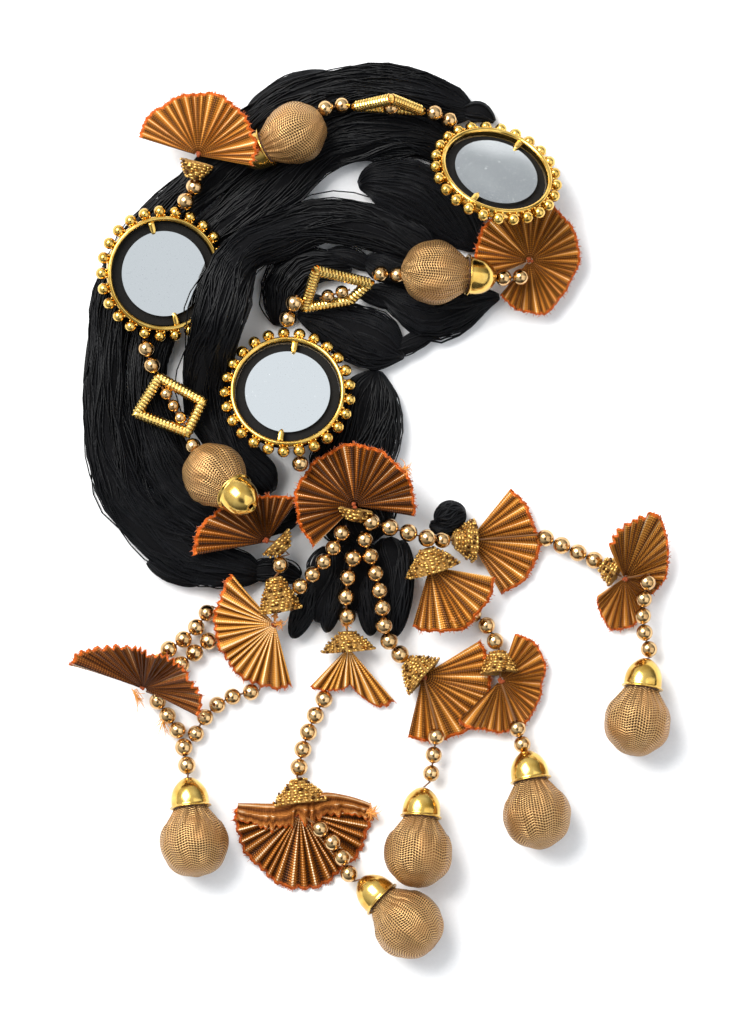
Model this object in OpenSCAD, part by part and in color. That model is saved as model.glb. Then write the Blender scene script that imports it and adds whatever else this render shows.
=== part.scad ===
// A paranda lying on a table: black thread hanks with a mirrored garland and a tassel of bead strands.
// Lengths are in millimetres. Tables give places on a squared drawing: columns run right, rows run down.

/* [Drawing] */
// Width of one square of the drawing
plan_step = 0.3; // [0.27:0.005:0.33]

/* [Beads] */
// Diameter of a round bead
bead_d = 4.9; // [4.2:0.1:4.9]
// Diameter of the hole through a bead
bead_hole_d = 1.6; // [1.2:0.1:1.9]
// Thickness of the stringing thread
thread_d = 0.6; // [0.4:0.1:0.8]

/* [Medallions] */
// Radius of the mirror
mirror_r = 12.7; // [11:0.1:13]
// Thickness of the mirror
mirror_t = 1.2; // [0.8:0.1:1.4]
// Inner radius of the gilt ring
ring_inner_r = 15.6; // [15:0.1:16]
// Outer radius of the gilt ring
ring_outer_r = 17.2; // [16.6:0.1:17.6]
// Height of the gilt ring
ring_h = 3.8; // [3:0.1:4.2]
// Radius of one rim bead
rim_bead_r = 1.85; // [1.6:0.05:2]
// Number of rim beads on a medallion
rim_beads = 25; // [20:1:26]

/* [Balls and caps] */
// Wall of a bell cap
cap_wall = 0.7; // [0.5:0.1:1]
// Radius of a bell cap at its rim
cap_rim_r = 6.3; // [5.8:0.1:6.6]
// Length of a bell cap
cap_length = 9; // [8:0.2:9.6]

/* [Wound frames] */
// Thickness of a wound bar
bar_d = 3; // [2.6:0.1:3.2]

/* [Fans] */
// Thickness of the pleated ribbon
ribbon_t = 1; // [0.8:0.1:1.2]
// Depth of a pleat at the outer edge
pleat_depth = 1.2; // [0.6:0.1:1.6]
// Angle between two ridges of a fan
pleat_angle = 13; // [11:1:18]

/* [Cones] */
// Thickness of the felt of a beaded cone
felt_t = 1.1; // [0.9:0.1:1.4]

/* [Hanks] */
// Depth of the furrows between the locks of a hank
furrow = 0.07; // [0:0.01:0.1]
// Number of locks round a hank
locks = 6; // [5:1:8]

/* [Hidden] */

bead_r = bead_d / 2;
plan_middle = [368.5, 511.9];
clear = 0.15;
smooth = 48;
gilt = "gold";
black = "#222226";
copper = "#b87333";
tissue = "#d9b36a";

function plan(u, v, z) = [(u - plan_middle[0]) * plan_step, (plan_middle[1] - v) * plan_step, z];
function unit(v) = v / norm(v);
function side_of(d) = unit([-d[1], d[0], 0]);
function last(list) = list[len(list) - 1];

// A surface of closed rings, one after another, with its two ends closed.
module skin(rings) {
    n = len(rings[0]);
    m = len(rings);
    corners = [for (ring = rings) each ring];
    walls = [for (i = [0 : m - 2], j = [0 : n - 1])
        [i * n + j, i * n + (j + 1) % n, (i + 1) * n + (j + 1) % n, (i + 1) * n + j]];
    halves = [for (w = walls) each [[w[2], w[1], w[0]], [w[3], w[2], w[0]]]];
    start = [for (j = [0 : n - 1]) j];
    finish = [for (j = [n - 1 : -1 : 0]) (m - 1) * n + j];
    polyhedron(corners, concat(halves, [start, finish]), convexity = 8);
}

// A surface of closed rings whose last ring joins its first.
module wrap(rings) {
    n = len(rings);
    c = len(rings[0]);
    faces = [for (i = [0 : n - 1], j = [0 : c - 1])
        let (k = (i + 1) % n, m = (j + 1) % c)
        each [[k * c + m, i * c + m, i * c + j], [k * c + j, k * c + m, i * c + j]]];
    polyhedron([for (ring = rings) each ring], faces, convexity = 6);
}

// Hanks: each row is a station [column, row, height of the underside, half width, half thickness].
outer_rows = [
    [474, 112, 0.4, 9, 2], [452, 107, 0, 18, 3.2], [422, 94, 0, 22, 4.5], [382, 87, 0, 22, 4.8],
    [345, 90, 0, 22, 4.8], [309, 100, 0, 24, 4.8], [275, 118, 0, 25, 4.8], [249, 139, 0, 25, 4.8],
    [220, 167, 0, 23, 4.8], [187, 197, 0, 21, 4.8], [154, 228, 0, 22, 4.8],
    [129, 265, 0, 22, 4.8], [113, 303, 0, 22, 4.8], [108, 350, 0, 20, 4.8],
    [105, 400, 0, 21, 4.8], [108, 440, 0, 24, 4.8], [118, 476, 0, 25, 4.8],
    [131, 506, 0, 25, 4.8], [156, 533, 0, 27, 4.8], [188, 554, 0, 27, 4.8],
    [216, 564, 0, 23, 4.6], [242, 570, 0, 17, 4], [262, 575, 0.4, 10, 3]];
middle_rows = [
    [458, 163, 0, 11, 2.2], [444, 147, 0, 18, 2.8], [420, 137, 0, 20, 4], [388, 133, 0, 23, 4.8],
    [352, 137, 0, 25, 4.8], [320, 152, 0, 23, 4.8], [288, 179, 0, 26, 4.8],
    [250, 204, 0, 22, 4.8], [208, 239, 0, 20, 4.8], [179, 273, 0, 20, 4.8],
    [164, 311, 0, 22, 4.8], [152, 350, 0, 19, 4.8], [146, 390, 0, 18, 4.8],
    [156, 432, 0, 23, 4.8], [172, 474, 0, 24, 4.8], [199, 503, 0, 21, 4.8],
    [236, 519, 0, 19, 4.6], [275, 520, 0, 15, 4.4], [302, 510, 0.4, 10, 4]];
inner_rows = [
    [434, 257, 0.2, 12, 3.8], [412, 244, 0, 20, 4.6], [380, 229, 0, 22, 4.8],
    [346, 222, 0, 22, 4.8], [312, 223, 0.2, 22, 4.8], [281, 236, 2.2, 22, 4.8],
    [252, 248, 6.2, 20, 4.6], [233, 268, 11, 23, 4.5], [224, 300, 13, 27, 4.5],
    [216, 332, 12.4, 26, 4.5], [208, 364, 5.6, 24, 4.8], [206, 396, 0.2, 24, 4.8],
    [216, 424, 0, 23, 4.8], [238, 452, 0, 21, 4.8], [260, 476, 0, 18, 4.8],
    [272, 492, 0.4, 11, 4.2]];
side_rows = [
    [378, 371, 0.2, 11, 3], [373, 386, 0, 23, 4.2], [368, 406, 0, 33, 4.6],
    [363, 428, 0, 36, 4.8], [354, 452, 0, 37, 4.8], [348, 476, 0, 39, 4.8],
    [351, 500, 0, 40, 4.8], [357, 522, 0, 38, 4.6], [362, 538, 0, 27, 4], [364, 546, 0.4, 13, 3]];
upper_fold_rows = [
    [359, 186, 0.4, 11, 3.4], [374, 183, 0, 21, 4.6], [402, 186.5, 0, 28.5, 4.8],
    [427, 198.5, 0, 29.5, 4.6], [449, 216, 0, 27, 3.4], [467, 233, 0, 20, 2.6],
    [477, 250, 0.2, 11, 2.2]];
lower_fold_rows = [
    [298, 315, 0.2, 8, 2.6], [322, 319, 0, 18, 3.4], [350, 330, 0, 27, 3.8],
    [377, 343, 0, 28, 4.2], [395, 352, 0, 17, 3.6], [404, 357, 0.4, 8, 3]];
tail_fold_rows = [
    [366, 291, 0.2, 7, 3], [384, 294, 0, 9, 3.6], [405, 305, 0, 16.5, 4.4], [430, 316, 0, 25, 4.6],
    [456, 310, 0, 22, 4.2], [480, 301, 0, 13, 3.4], [499, 297, 0.2, 7, 2.6]];
slit_fold_rows = [
    [352, 267, 0.2, 9, 2.8], [330, 265, 0, 14, 3.8], [303, 267, 0, 19, 4], [284, 287, 0, 20, 3.8],
    [282, 308, 0, 17, 3.2], [278, 326, 0.2, 11, 2.4]];
short_fold_rows = [
    [363, 260, 0.2, 7, 2.8], [377, 266, 0, 13, 3.8], [396, 272, 0, 13, 4], [418, 278, 0, 12, 3.8],
    [434, 280, 0.2, 6, 2.8]];
// Knobs: [column, row, height, half width, half height, half length, turn].
knob_rows = [
    [305, 608, 4.4, 3.9, 4.2, 10, 68], [334, 594, 4.4, 3.8, 4.2, 12, 79],
    [368, 600, 4.4, 3.8, 4.2, 11, 95], [398, 589, 4.8, 5, 4.8, 15, 84],
    [450, 516, 4.4, 4.8, 4.4, 5.2, 20]];

// The smooth value between rows b and c of four rows, a share t of the way along.
function between(a, b, c, d, t) =
    (2 * b + (c - a) * t + (2 * a - 5 * b + 4 * c - d) * t * t + (3 * b - a - 3 * c + d) * t * t * t) / 2;
function station(rows, i, t) =
    between(rows[max(i - 1, 0)], rows[i], rows[i + 1], rows[min(i + 2, len(rows) - 1)], t);
function stations(rows, parts) =
    [for (i = [0 : len(rows) - 2], k = [0 : parts - 1]) station(rows, i, k / parts), last(rows)];
function heading(list, i) =
    side_of(plan(list[min(i + 1, len(list) - 1)][0], list[min(i + 1, len(list) - 1)][1], 0)
        - plan(list[max(i - 1, 0)][0], list[max(i - 1, 0)][1], 0));

// Ridges and furrows take turns round the hank, with a ridge along its underside.
module hank(rows, parts = 2) {
    list = stations(rows, parts);
    corners = 2 * locks;
    skin([for (i = [0 : len(list) - 1])
        let (s = list[i], across = heading(list, i), middle = max(s[2], 0) + s[4])
        [for (j = [0 : corners - 1])
            let (a = -90 - j * 360 / corners, swell = j % 2 == 0 ? 1 : 1 - furrow)
            plan(s[0], s[1], middle)
                + (across * s[3] * plan_step * cos(a) + [0, 0, s[4] * sin(a)]) * swell]]);
}

module knob(row, rings = 7, corners = 12) {
    translate(plan(row[0], row[1], row[2])) rotate([0, 0, row[6]])
        skin([for (i = [0 : rings - 1])
            let (w = 8 + i * 164 / (rings - 1))
            [for (j = [0 : corners - 1])
                let (a = -90 - j * 360 / corners, swell = j % 2 == 0 ? 1 : 1 - furrow)
                [-row[5] * cos(w), row[3] * sin(w) * cos(a) * swell, row[4] * sin(w) * sin(a) * swell]]]);
}

module outer_hank() color(black) hank(outer_rows);
module middle_hank() color(black) hank(middle_rows);
module inner_hank() color(black) hank(inner_rows);
module side_hank() color(black) hank(side_rows);
module upper_fold() color(black) hank(upper_fold_rows);
module lower_folds() color(black) {
    hank(lower_fold_rows);
    hank(tail_fold_rows);
}
module inner_folds() color(black) {
    hank(slit_fold_rows);
    hank(short_fold_rows);
}
module hank_knobs() color(black) {
    for (row = knob_rows) knob(row);
}

// Medallions: [column, row, height, tilt, direction of the raised edge, turn of the tabs].
left_place = [164.6, 274.7, 13.4, 9, 180, -75.5];
centre_place = [288, 393, 16.6, 18, -90, 82];
right_place = [495, 175, 17.6, 44, -111, 56];

bead_bite = 0.4;
tab_reach = 0.8;
tab_width = 2.6;
tab_t = 0.6;

module placed(place) {
    translate(plan(place[0], place[1], place[2]))
        rotate(a = place[3], v = [sin(place[4]), -cos(place[4]), 0])
            children();
}
module ring(place) color(gilt) placed(place) {
    difference() {
        cylinder(r = ring_outer_r, h = ring_h, center = true, $fn = smooth);
        cylinder(r = ring_inner_r, h = ring_h + 2, center = true, $fn = smooth);
    }
    for (i = [0 : rim_beads - 1])
        rotate([0, 0, (i + 0.5) * 360 / rim_beads])
            translate([ring_outer_r + rim_bead_r - bead_bite, 0, 0])
                sphere(r = rim_bead_r, $fn = smooth);
    for (half = [0, 180])
        rotate([0, 0, place[5] + half])
            translate([mirror_r - tab_reach, -tab_width / 2, mirror_top + clear])
                cube([ring_inner_r - mirror_r + tab_reach + bead_bite, tab_width, tab_t]);
}
backing_t = 1;
backing_bottom = clear - ring_h / 2;
mirror_bottom = backing_bottom + backing_t + clear;
mirror_top = mirror_bottom + mirror_t;
module backing(place) color(black) placed(place)
    translate([0, 0, backing_bottom])
        cylinder(r = ring_inner_r - clear, h = backing_t, $fn = smooth);
module mirror_disc(place) color("lightsteelblue") placed(place)
    translate([0, 0, mirror_bottom])
        cylinder(r = mirror_r, h = mirror_t, $fn = smooth);

module ring_left() ring(left_place);
module ring_centre() ring(centre_place);
module ring_right() ring(right_place);
module backing_left() backing(left_place);
module backing_centre() backing(centre_place);
module backing_right() backing(right_place);
module mirror_left() mirror_disc(left_place);
module mirror_centre() mirror_disc(centre_place);
module mirror_right() mirror_disc(right_place);

// Wound frames: the four corners in order, each [column, row, height].
left_corners = [[160, 378, 13.2], [138, 414, 12.6], [188, 433, 12.8], [203, 402, 13]];
top_corners = [[357, 108, 13.6], [391, 102, 22.5], [420, 112, 13], [391, 110, 11.4]];
centre_corners = [[305, 308, 11.4], [317, 272, 20], [369, 284, 12.4], [350, 301, 9.6]];

// A round bar bent into a closed loop, with blunted corners.
corner_reach = 1.25;
module loop_bar(at, r, corners = 12) {
    n = len(at);
    points = [for (i = [0 : n - 1])
        let (
            before = unit(at[i] - at[(i + n - 1) % n]),
            after = unit(at[(i + 1) % n] - at[i]),
            across = unit(cross(before, after)),
            inward = unit(after - before),
            stretch = min(1 / cos(acos(before * after) / 2), corner_reach))
        [for (j = [0 : corners - 1])
            let (a = -j * 360 / corners)
            at[i] + across * r * cos(a) + inward * r * stretch * sin(a)]];
    wrap(points);
}
module wound_frame(corners) color(gilt)
    loop_bar([for (c = corners) plan(c[0], c[1], c[2])], bar_d / 2);
module wound_frame_left() wound_frame(left_corners);
module wound_frame_top() wound_frame(top_corners);
module wound_frame_centre() wound_frame(centre_corners);

// Cones: [column, row, height] of the tip, the same of the mouth, then the mouth's half width and
// half height.
garland_cone_rows = [
    [194, 180, 14.6, 198, 164, 15.2, 4.8, 3.6], [286, 551, 13.2, 276, 541, 13.4, 5.4, 3.6],
    [354, 521, 16, 356, 509, 16.4, 5, 3.6]];
tassel_cone_rows = [
    [275, 577, 13, 281, 611, 12.2, 6.2, 3.6], [165, 659, 5, 151, 675, 5.4, 5.2, 4.4],
    [347, 631, 6.4, 348.6, 651, 6, 8, 3.6], [298, 779, 3.6, 301, 804, 4.8, 8.6, 4.2],
    [406, 661, 4.6, 424.5, 677, 5.4, 6.8, 4.4], [453, 540, 7.4, 474, 540, 5.4, 6.2, 4.4],
    [426.5, 549, 13.4, 433, 570.5, 11.6, 8.2, 3.6], [497.5, 651, 3.8, 499, 673, 5, 5.4, 4.2],
    [602, 564, 4.6, 617, 573, 5.6, 4.4, 3.8]];
tip_r = 1.7;
bore_r = 0.9;

// Balls with caps: [column, row, height, radius] of the ball, then [column, row, height] its cap points to.
top_ball = [296, 135, 17.8, 9.2, 236, 164, 12.6];
centre_ball = [433, 274, 18.4, 9.6, 500, 279, 14];
left_ball = [215, 475, 18.6, 9.4, 256, 510, 31];
ball_rows = [
    [195, 842, 10.5, 10.2, 188, 776, 7.2], [408.5, 923, 10.6, 10.3, 361, 879, 7.2],
    [418, 852, 10.6, 10.2, 423, 786, 7.2], [536.5, 814.5, 10.4, 10.1, 525, 749, 7.2],
    [636.5, 722, 10.2, 9.9, 646, 655, 7.2]];
neck_r = 4.2;
neck_from = 0.72;
shoulder_rise = 1.6;
neck_to = 4;
cap_gap = 0.6;
cap_hole_r = 0.8;
crown_t = 0.6;
// The thread's corners at the hole of a cap and just above the neck inside it.
function off_plan(p) = [p[0] / plan_step + plan_middle[0], plan_middle[1] - p[1] / plan_step, p[2]];
function cap_way(row) =
    let (at = plan(row[0], row[1], row[2]), d = unit(plan(row[4], row[5], row[6]) - at))
    [off_plan(at + d * (row[3] + cap_gap + cap_length)), off_plan(at + d * (row[3] + neck_to + 0.3))];

// Bead runs: [column, row, height] of the first place, the same of the last place, sideways bow,
// number of beads, size of the beads as a share of bead_d, thread corners before and after the beads.
garland_runs = [
    [299.6, 461, 20.7, 301.6, 467, 18.9, 0, 1, 1, [], []],
    [294.5, 304, 14.6, 288, 319.5, 12.8, 0, 2, 1.06, [], []],
    [380.5, 275, 13, 397.5, 276, 12.6, 0, 2, 1, [], []],
    [503, 279, 13, 520, 278, 13, 0, 2, 1, [], []],
    [449, 121, 8.4, 434, 114.5, 11.6, 0, 2, 1.02, [], []],
    [342, 107, 13.4, 325.5, 110.5, 15.6, 0, 2, 1, [], []],
    [195, 188.5, 13, 186.5, 203, 14.8, 0, 2, 1.06, [], []],
    [147, 349.5, 13.8, 152.5, 366, 13.4, 0, 2, 1.04, [], []],
    [167, 394.5, 13.1, 181, 418, 12.8, 0, 3, 0.78, [], []],
    [192, 444.5, 12.6, 195, 448.5, 12.8, 0, 1, 1, [], []],
    [328, 297, 13.6, 342, 293, 13.8, 0, 2, 0.82, [], []],
    [384, 109.5, 16.4, 398, 109.5, 16.4, 0, 1, 1, [], []],
    [281, 562, 13.6, 280, 567, 13.4, 0, 1, 1, [[268, 541, 13.4], [277, 542, 13.4], [289.4, 554.4, 13.1]],
        [[275, 577, 13], [275, 621, 9.6]]]];
strand_1_runs = [
    [207, 613, 3, 169, 649, 4.4, 1, 4, 1.04, [[270, 625, 7.8], [238, 617, 3]],
        [[165, 659, 5], [146, 686, 8]]],
    [208.5, 641, 2.8, 181, 664.5, 4, 0, 3, 1.08, [[268, 629, 7.6], [236, 634, 3]], []],
    [251, 692, 2.8, 196, 733.5, 2.6, -3, 5, 1.02, [[277, 632, 7.4], [268, 668, 2.6]], []],
    [158, 701, 3, 177.5, 730, 2.6, 0, 3, 1.04, [[147, 691, 7.1]], []],
    [184, 747, 2.8, 187, 765, 4.4, 0, 2, 1.1, [], cap_way(ball_rows[0])]];
strand_2_runs = [
    [353, 558, 13.6, 347, 616, 9.2, -1, 4, 1.1, [], [[347, 630, 6.4], [348.3, 647.9, 6]]],
    [324, 699, 2.8, 299, 767, 3, -1, 5, 1.08, [[347.3, 650.5, 5], [333, 684, 2.3]],
        [[298, 779, 3.6], [300, 811.6, 5.4]]],
    [320, 828, 8.2, 349, 873, 5.8, 1, 4, 1.06, [[303, 815, 6.6]], cap_way(ball_rows[1])],
    [342, 533, 15.4, 300.5, 586, 14, 1, 5, 1, [], []]];
strand_3_runs = [
    [364.5, 539.5, 14, 384, 625, 11.6, 1, 6, 1.04, [], []],
    [389, 640.5, 9.2, 400, 654, 5.4, 0, 2, 1.1, [], [[406, 661, 4.6], [422.4, 675.1, 5.69]]],
    [436, 736, 6.5, 431, 773, 5, 0, 3, 1.02, [[424, 678.7, 6.69]], cap_way(ball_rows[2])]];
strand_4_runs = [
    [371, 522, 15, 427, 538, 14, 0, 4, 1.1, [], []],
    [473, 614, 2.8, 495, 641, 3, 1, 3, 1.04, [[432.4, 569.2, 9.9], [462, 602, 3.2]],
        [[497.5, 651, 3.8], [500, 677, 5]]],
    [517, 728, 6.8, 522, 744, 5.2, 0, 2, 1.04, [[501.5, 684, 6.3]], cap_way(ball_rows[3])]];
strand_5_runs = [
    [441, 540, 10.9, 443, 540, 10.2, 0, 1, 1, [], [[453, 540, 7.4], [469.6, 539.9, 5.79]]],
    [545, 538, 5.2, 594, 560, 3.4, 0, 4, 1.06, [[472, 540.3, 6.79]], [[602, 564, 4.6], [621, 576.5, 6.2]]],
    [646.5, 582, 9.2, 648.5, 649, 5, -1.6, 5, 1.02, [[627, 577.5, 7.7]], cap_way(ball_rows[4])]];
// A stretch of thread with no bead on it, inside a cone.
cone_links = [[[427, 548, 13.4], [429.9, 566.2, 11.3]]];

function run_place(run, t) =
    let (a = plan(run[0], run[1], run[2]), b = plan(run[3], run[4], run[5]))
    a + (b - a) * t + side_of(b - a) * run[6] * 4 * t * (1 - t);
function run_step(run) = run[7] > 1 ? 1 / (run[7] - 1) : 2;
function bead_place(run, i) = run_place(run, run[7] > 1 ? i * run_step(run) : 0.5);
// Thread corners lie halfway between beads, and the ends reach a little past the last beads.
function thread_ends(run, reach) =
    let (n = run[7], first = bead_place(run, 0), final = bead_place(run, n - 1),
        d0 = unit(n > 1 ? bead_place(run, 1) - first : run_place(run, 1) - run_place(run, 0)),
        d1 = unit(n > 1 ? final - bead_place(run, n - 2) : run_place(run, 1) - run_place(run, 0)))
    [first - d0 * reach, final + d1 * reach];
function thread_corners(run) =
    let (ends = thread_ends(run, bead_r + 0.1))
    [ends[0],
     if (run[7] > 1) for (i = [0 : run[7] - 2]) run_place(run, (i + 0.5) * run_step(run)),
     ends[1]];
function on_plan(list) = [for (c = list) plan(c[0], c[1], c[2])];
function thread_way(run) = concat(on_plan(run[9]), thread_corners(run), on_plan(run[10]));

module bead_on(a, b, size) {
    d = b - a;
    translate((a + b) / 2) rotate([0, acos(d[2] / norm(d)), atan2(d[1], d[0])])
        difference() {
            sphere(r = bead_r * size, $fn = smooth);
            cylinder(r = bead_hole_d / 2, h = 3 * bead_r, center = true, $fn = 24);
        }
}
module bead_runs(runs) color(gilt) {
    for (run = runs) {
        ends = thread_ends(run, bead_r);
        gaps = thread_corners(run);
        for (i = [0 : run[7] - 1]) {
            back = i == 0 ? ends[0] : gaps[i];
            ahead = i == run[7] - 1 ? ends[1] : gaps[i + 1];
            half = (ahead - back) / 2;
            bead_on(bead_place(run, i) - half, bead_place(run, i) + half, run[8]);
        }
    }
}
function ring_round(centre, d, r, corners) =
    let (s = side_of(d), u = cross(d, s))
    [for (j = [0 : corners - 1]) let (a = -j * 360 / corners) centre + s * r * cos(a) + u * r * sin(a)];
module threads(ways) color("darkorange") {
    for (p = ways)
        skin([for (i = [0 : len(p) - 1])
            let (
                d0 = unit(p[max(i, 1)] - p[max(i, 1) - 1]),
                d1 = unit(p[min(i + 1, len(p) - 1)] - p[min(i + 1, len(p) - 1) - 1]))
            ring_round(p[i], unit(d0 + d1), thread_d / 2, 4)]);
}
module garland_beads() bead_runs(garland_runs);
module garland_thread() threads([for (run = garland_runs) thread_way(run)]);
module strand_1() bead_runs(strand_1_runs);
module strand_2() bead_runs(strand_2_runs);
module strand_3() bead_runs(strand_3_runs);
module strand_4() bead_runs(strand_4_runs);
module strand_5() bead_runs(strand_5_runs);
tassel_runs = concat(strand_1_runs, strand_2_runs, strand_3_runs, strand_4_runs, strand_5_runs);
module tassel_thread()
    threads(concat([for (run = tassel_runs) thread_way(run)], [for (link = cone_links) on_plan(link)]));

module toward(row) {
    at = plan(row[0], row[1], row[2]);
    d = plan(row[4], row[5], row[6]) - at;
    translate(at) rotate([0, acos(d[2] / norm(d)), atan2(d[1], d[0])]) children();
}
// The tissue is gathered from the round ball into a neck that goes up inside the cap.
module ball(row) color(tissue) toward(row) {
    r = row[3];
    shoulder = r * sqrt(1 - neck_from * neck_from);
    sphere(r = r, $fn = smooth);
    translate([0, 0, r * neck_from])
        cylinder(r1 = shoulder, r2 = neck_r, h = r * (1 - neck_from) + shoulder_rise, $fn = smooth);
    translate([0, 0, r * 0.9]) cylinder(r = neck_r, h = r * 0.1 + neck_to, $fn = smooth);
}
function bell(r, grow) = [
    [r + grow, 0], [r - 0.7 + grow, 1.2], [r - 1 + grow, 3.6], [r - 1.9 + grow, 5.8],
    [r - 3.3 + grow, cap_length - 1 - crown_t + grow], [1.7 + grow, cap_length - crown_t + grow]];
module cap(row) color(gilt) toward(row)
    translate([0, 0, row[3] + cap_gap])
        rotate_extrude($fn = smooth)
            difference() {
                polygon(concat([[0, 0]], bell(cap_rim_r, 0), [[0, cap_length]]));
                polygon(concat([[0, -1], [cap_rim_r - cap_wall, -1]], bell(cap_rim_r, -cap_wall),
                    [[0, cap_length - crown_t - cap_wall]]));
                translate([0, cap_length - 3]) square([cap_hole_r, 5]);
            }
module ball_top() ball(top_ball);
module ball_centre() ball(centre_ball);
module ball_left() ball(left_ball);
module ball_strand_1() ball(ball_rows[0]);
module ball_strand_2() ball(ball_rows[1]);
module ball_strand_3() ball(ball_rows[2]);
module ball_strand_4() ball(ball_rows[3]);
module ball_strand_5() ball(ball_rows[4]);
module cap_top() cap(top_ball);
module cap_centre() cap(centre_ball);
module cap_left() cap(left_ball);
module cap_strand_1() cap(ball_rows[0]);
module cap_strand_2() cap(ball_rows[1]);
module cap_strand_3() cap(ball_rows[2]);
module cap_strand_4() cap(ball_rows[3]);
module cap_strand_5() cap(ball_rows[4]);

// Fans: a pivot [column, row, height], then spokes [direction, rise, length in mm] in turn round it.
fan_top_left_place = [199, 157, 15];
fan_top_left_spokes = [[163, -3, 18.6], [75, 2, 18.8], [40, 12, 18.8], [-12, 27, 18.6]];
fan_right_place = [529, 261, 8];
fan_right_spokes = [
    [205, 3, 15.5], [150, 6, 16.8], [60, 2, 17.4], [5, -4, 15], [-30, -8, 14], [-75, -6, 16.6],
    [-130, 0, 14]];
fan_lower_left_place = [267, 542, 13.4];
fan_lower_left_spokes = [[190, -5, 22.6], [150, 0, 18.2], [95, 4, 13.4], [53, 2, 16]];
fan_head_place = [355, 505.5, 16];
fan_head_spokes = [[225, -3, 17.6], [100, 0, 18.2], [-10, -10, 18]];
fan_strand_1_upper_place = [275, 624, 9.2];
fan_strand_1_upper_spokes = [
    [130, 8, 19.6], [160, -4, 18.6], [208, -14, 18.2], [225, -16, 19.8], [285, -16, 19.8]];
fan_strand_1_lower_place = [144, 688, 8.4];
fan_strand_1_lower_spokes = [[163, 2, 24], [130, 40, 21], [75, 54, 18], [10, 34, 18], [-28, 6, 19]];
fan_strand_2_upper_place = [348.3, 647.5, 6.1];
fan_strand_2_upper_spokes = [
    [225.8, -9.7, 16.5], [244.8, -10.4, 14.6], [260.7, -10.2, 13.6], [273.3, -5.7, 10.6],
    [297.9, -10.3, 20.5], [310.7, -9.6, 20.9]];
fan_strand_2_lower_place = [300, 812, 5.4];
fan_strand_2_lower_spokes = [
    [176, -9, 19.2], [225, -10, 21], [270, -9, 23.5], [318, -10, 22], [365, -9, 21]];
fan_strand_3_place = [422.8, 675.5, 5.69];
fan_strand_3_spokes = [
    [31.5, -8.7, 19.7], [-35.1, -9, 21.6], [-103.5, -8.7, 19.7]];
fan_strand_5_upper_place = [469.6, 539.9, 5.79];
fan_strand_5_upper_spokes = [
    [51.2, -8.3, 19.7], [-14.1, -8.6, 21.2], [-59.5, -9.1, 19.5]];
fan_strand_4_upper_place = [429.9, 566.2, 11.3];
fan_strand_4_upper_spokes = [
    [-9.6, -4.6, 20.1], [-59.9, -7.9, 21], [-106.3, -4.6, 19.1]];
fan_strand_4_lower_place = [500, 680, 5];
fan_strand_4_lower_spokes = [
    [72, -6, 15], [40, -7, 15.6], [-6, -8, 12.6], [-64, -8, 15], [-109, -4, 16.2], [-137, 2, 17.6]];
fan_strand_5_lower_place = [624, 578, 6.4];
fan_strand_5_lower_spokes = [
    [118, 52, 17], [84, 32, 21], [62, 12, 22], [38, 2, 16], [0, -8, 12.4], [-45, -20, 8],
    [-80, -16, 15.6], [-104, -15, 16.2], [-146, -12, 10]];
gather_r = 1;

function spoke_dir(k) = [cos(k[1]) * cos(k[0]), cos(k[1]) * sin(k[0]), sin(k[1])];
function turn_between(keys, i) = norm([keys[i + 1][0] - keys[i][0], keys[i + 1][1] - keys[i][1]]);
// Spokes at even angles: ridges and valleys take turns.
function spread(keys) =
    [for (i = [0 : len(keys) - 2])
        let (n = max(1, round(turn_between(keys, i) / pleat_angle * 2)))
        for (k = [0 : n - 1]) keys[i] + (keys[i + 1] - keys[i]) * k / n,
     last(keys)];

module fan(place, keys) color(copper) {
    ribs = spread(keys);
    n = len(ribs);
    at = plan(place[0], place[1], place[2]);
    skin([for (i = [0 : n - 1])
        let (
            d = spoke_dir(ribs[i]),
            e = spoke_dir(ribs[min(i + 1, n - 1)]) - spoke_dir(ribs[max(i - 1, 0)]),
            up = unit(cross(unit(e), d)) * -1,
            lift = (i % 2 == 0 ? 0.5 : -0.5) * pleat_depth,
            near = at + d * gather_r,
            far = at + d * ribs[i][2] + up * lift,
            half = up * ribbon_t / 2)
        [near - half, near + half, far + half, far - half]]);
}
module fan_top_left() fan(fan_top_left_place, fan_top_left_spokes);
module fan_right() fan(fan_right_place, fan_right_spokes);
module fan_lower_left() fan(fan_lower_left_place, fan_lower_left_spokes);
module fan_head() fan(fan_head_place, fan_head_spokes);
module fan_strand_1_upper() fan(fan_strand_1_upper_place, fan_strand_1_upper_spokes);
module fan_strand_1_lower() fan(fan_strand_1_lower_place, fan_strand_1_lower_spokes);
module fan_strand_2_upper() fan(fan_strand_2_upper_place, fan_strand_2_upper_spokes);
module fan_strand_2_lower() fan(fan_strand_2_lower_place, fan_strand_2_lower_spokes);
module fan_strand_3() fan(fan_strand_3_place, fan_strand_3_spokes);
module fan_strand_5_upper() fan(fan_strand_5_upper_place, fan_strand_5_upper_spokes);
module fan_strand_4_upper() fan(fan_strand_4_upper_place, fan_strand_4_upper_spokes);
module fan_strand_4_lower() fan(fan_strand_4_lower_place, fan_strand_4_lower_spokes);
module fan_strand_5_lower() fan(fan_strand_5_lower_place, fan_strand_5_lower_spokes);

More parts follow.
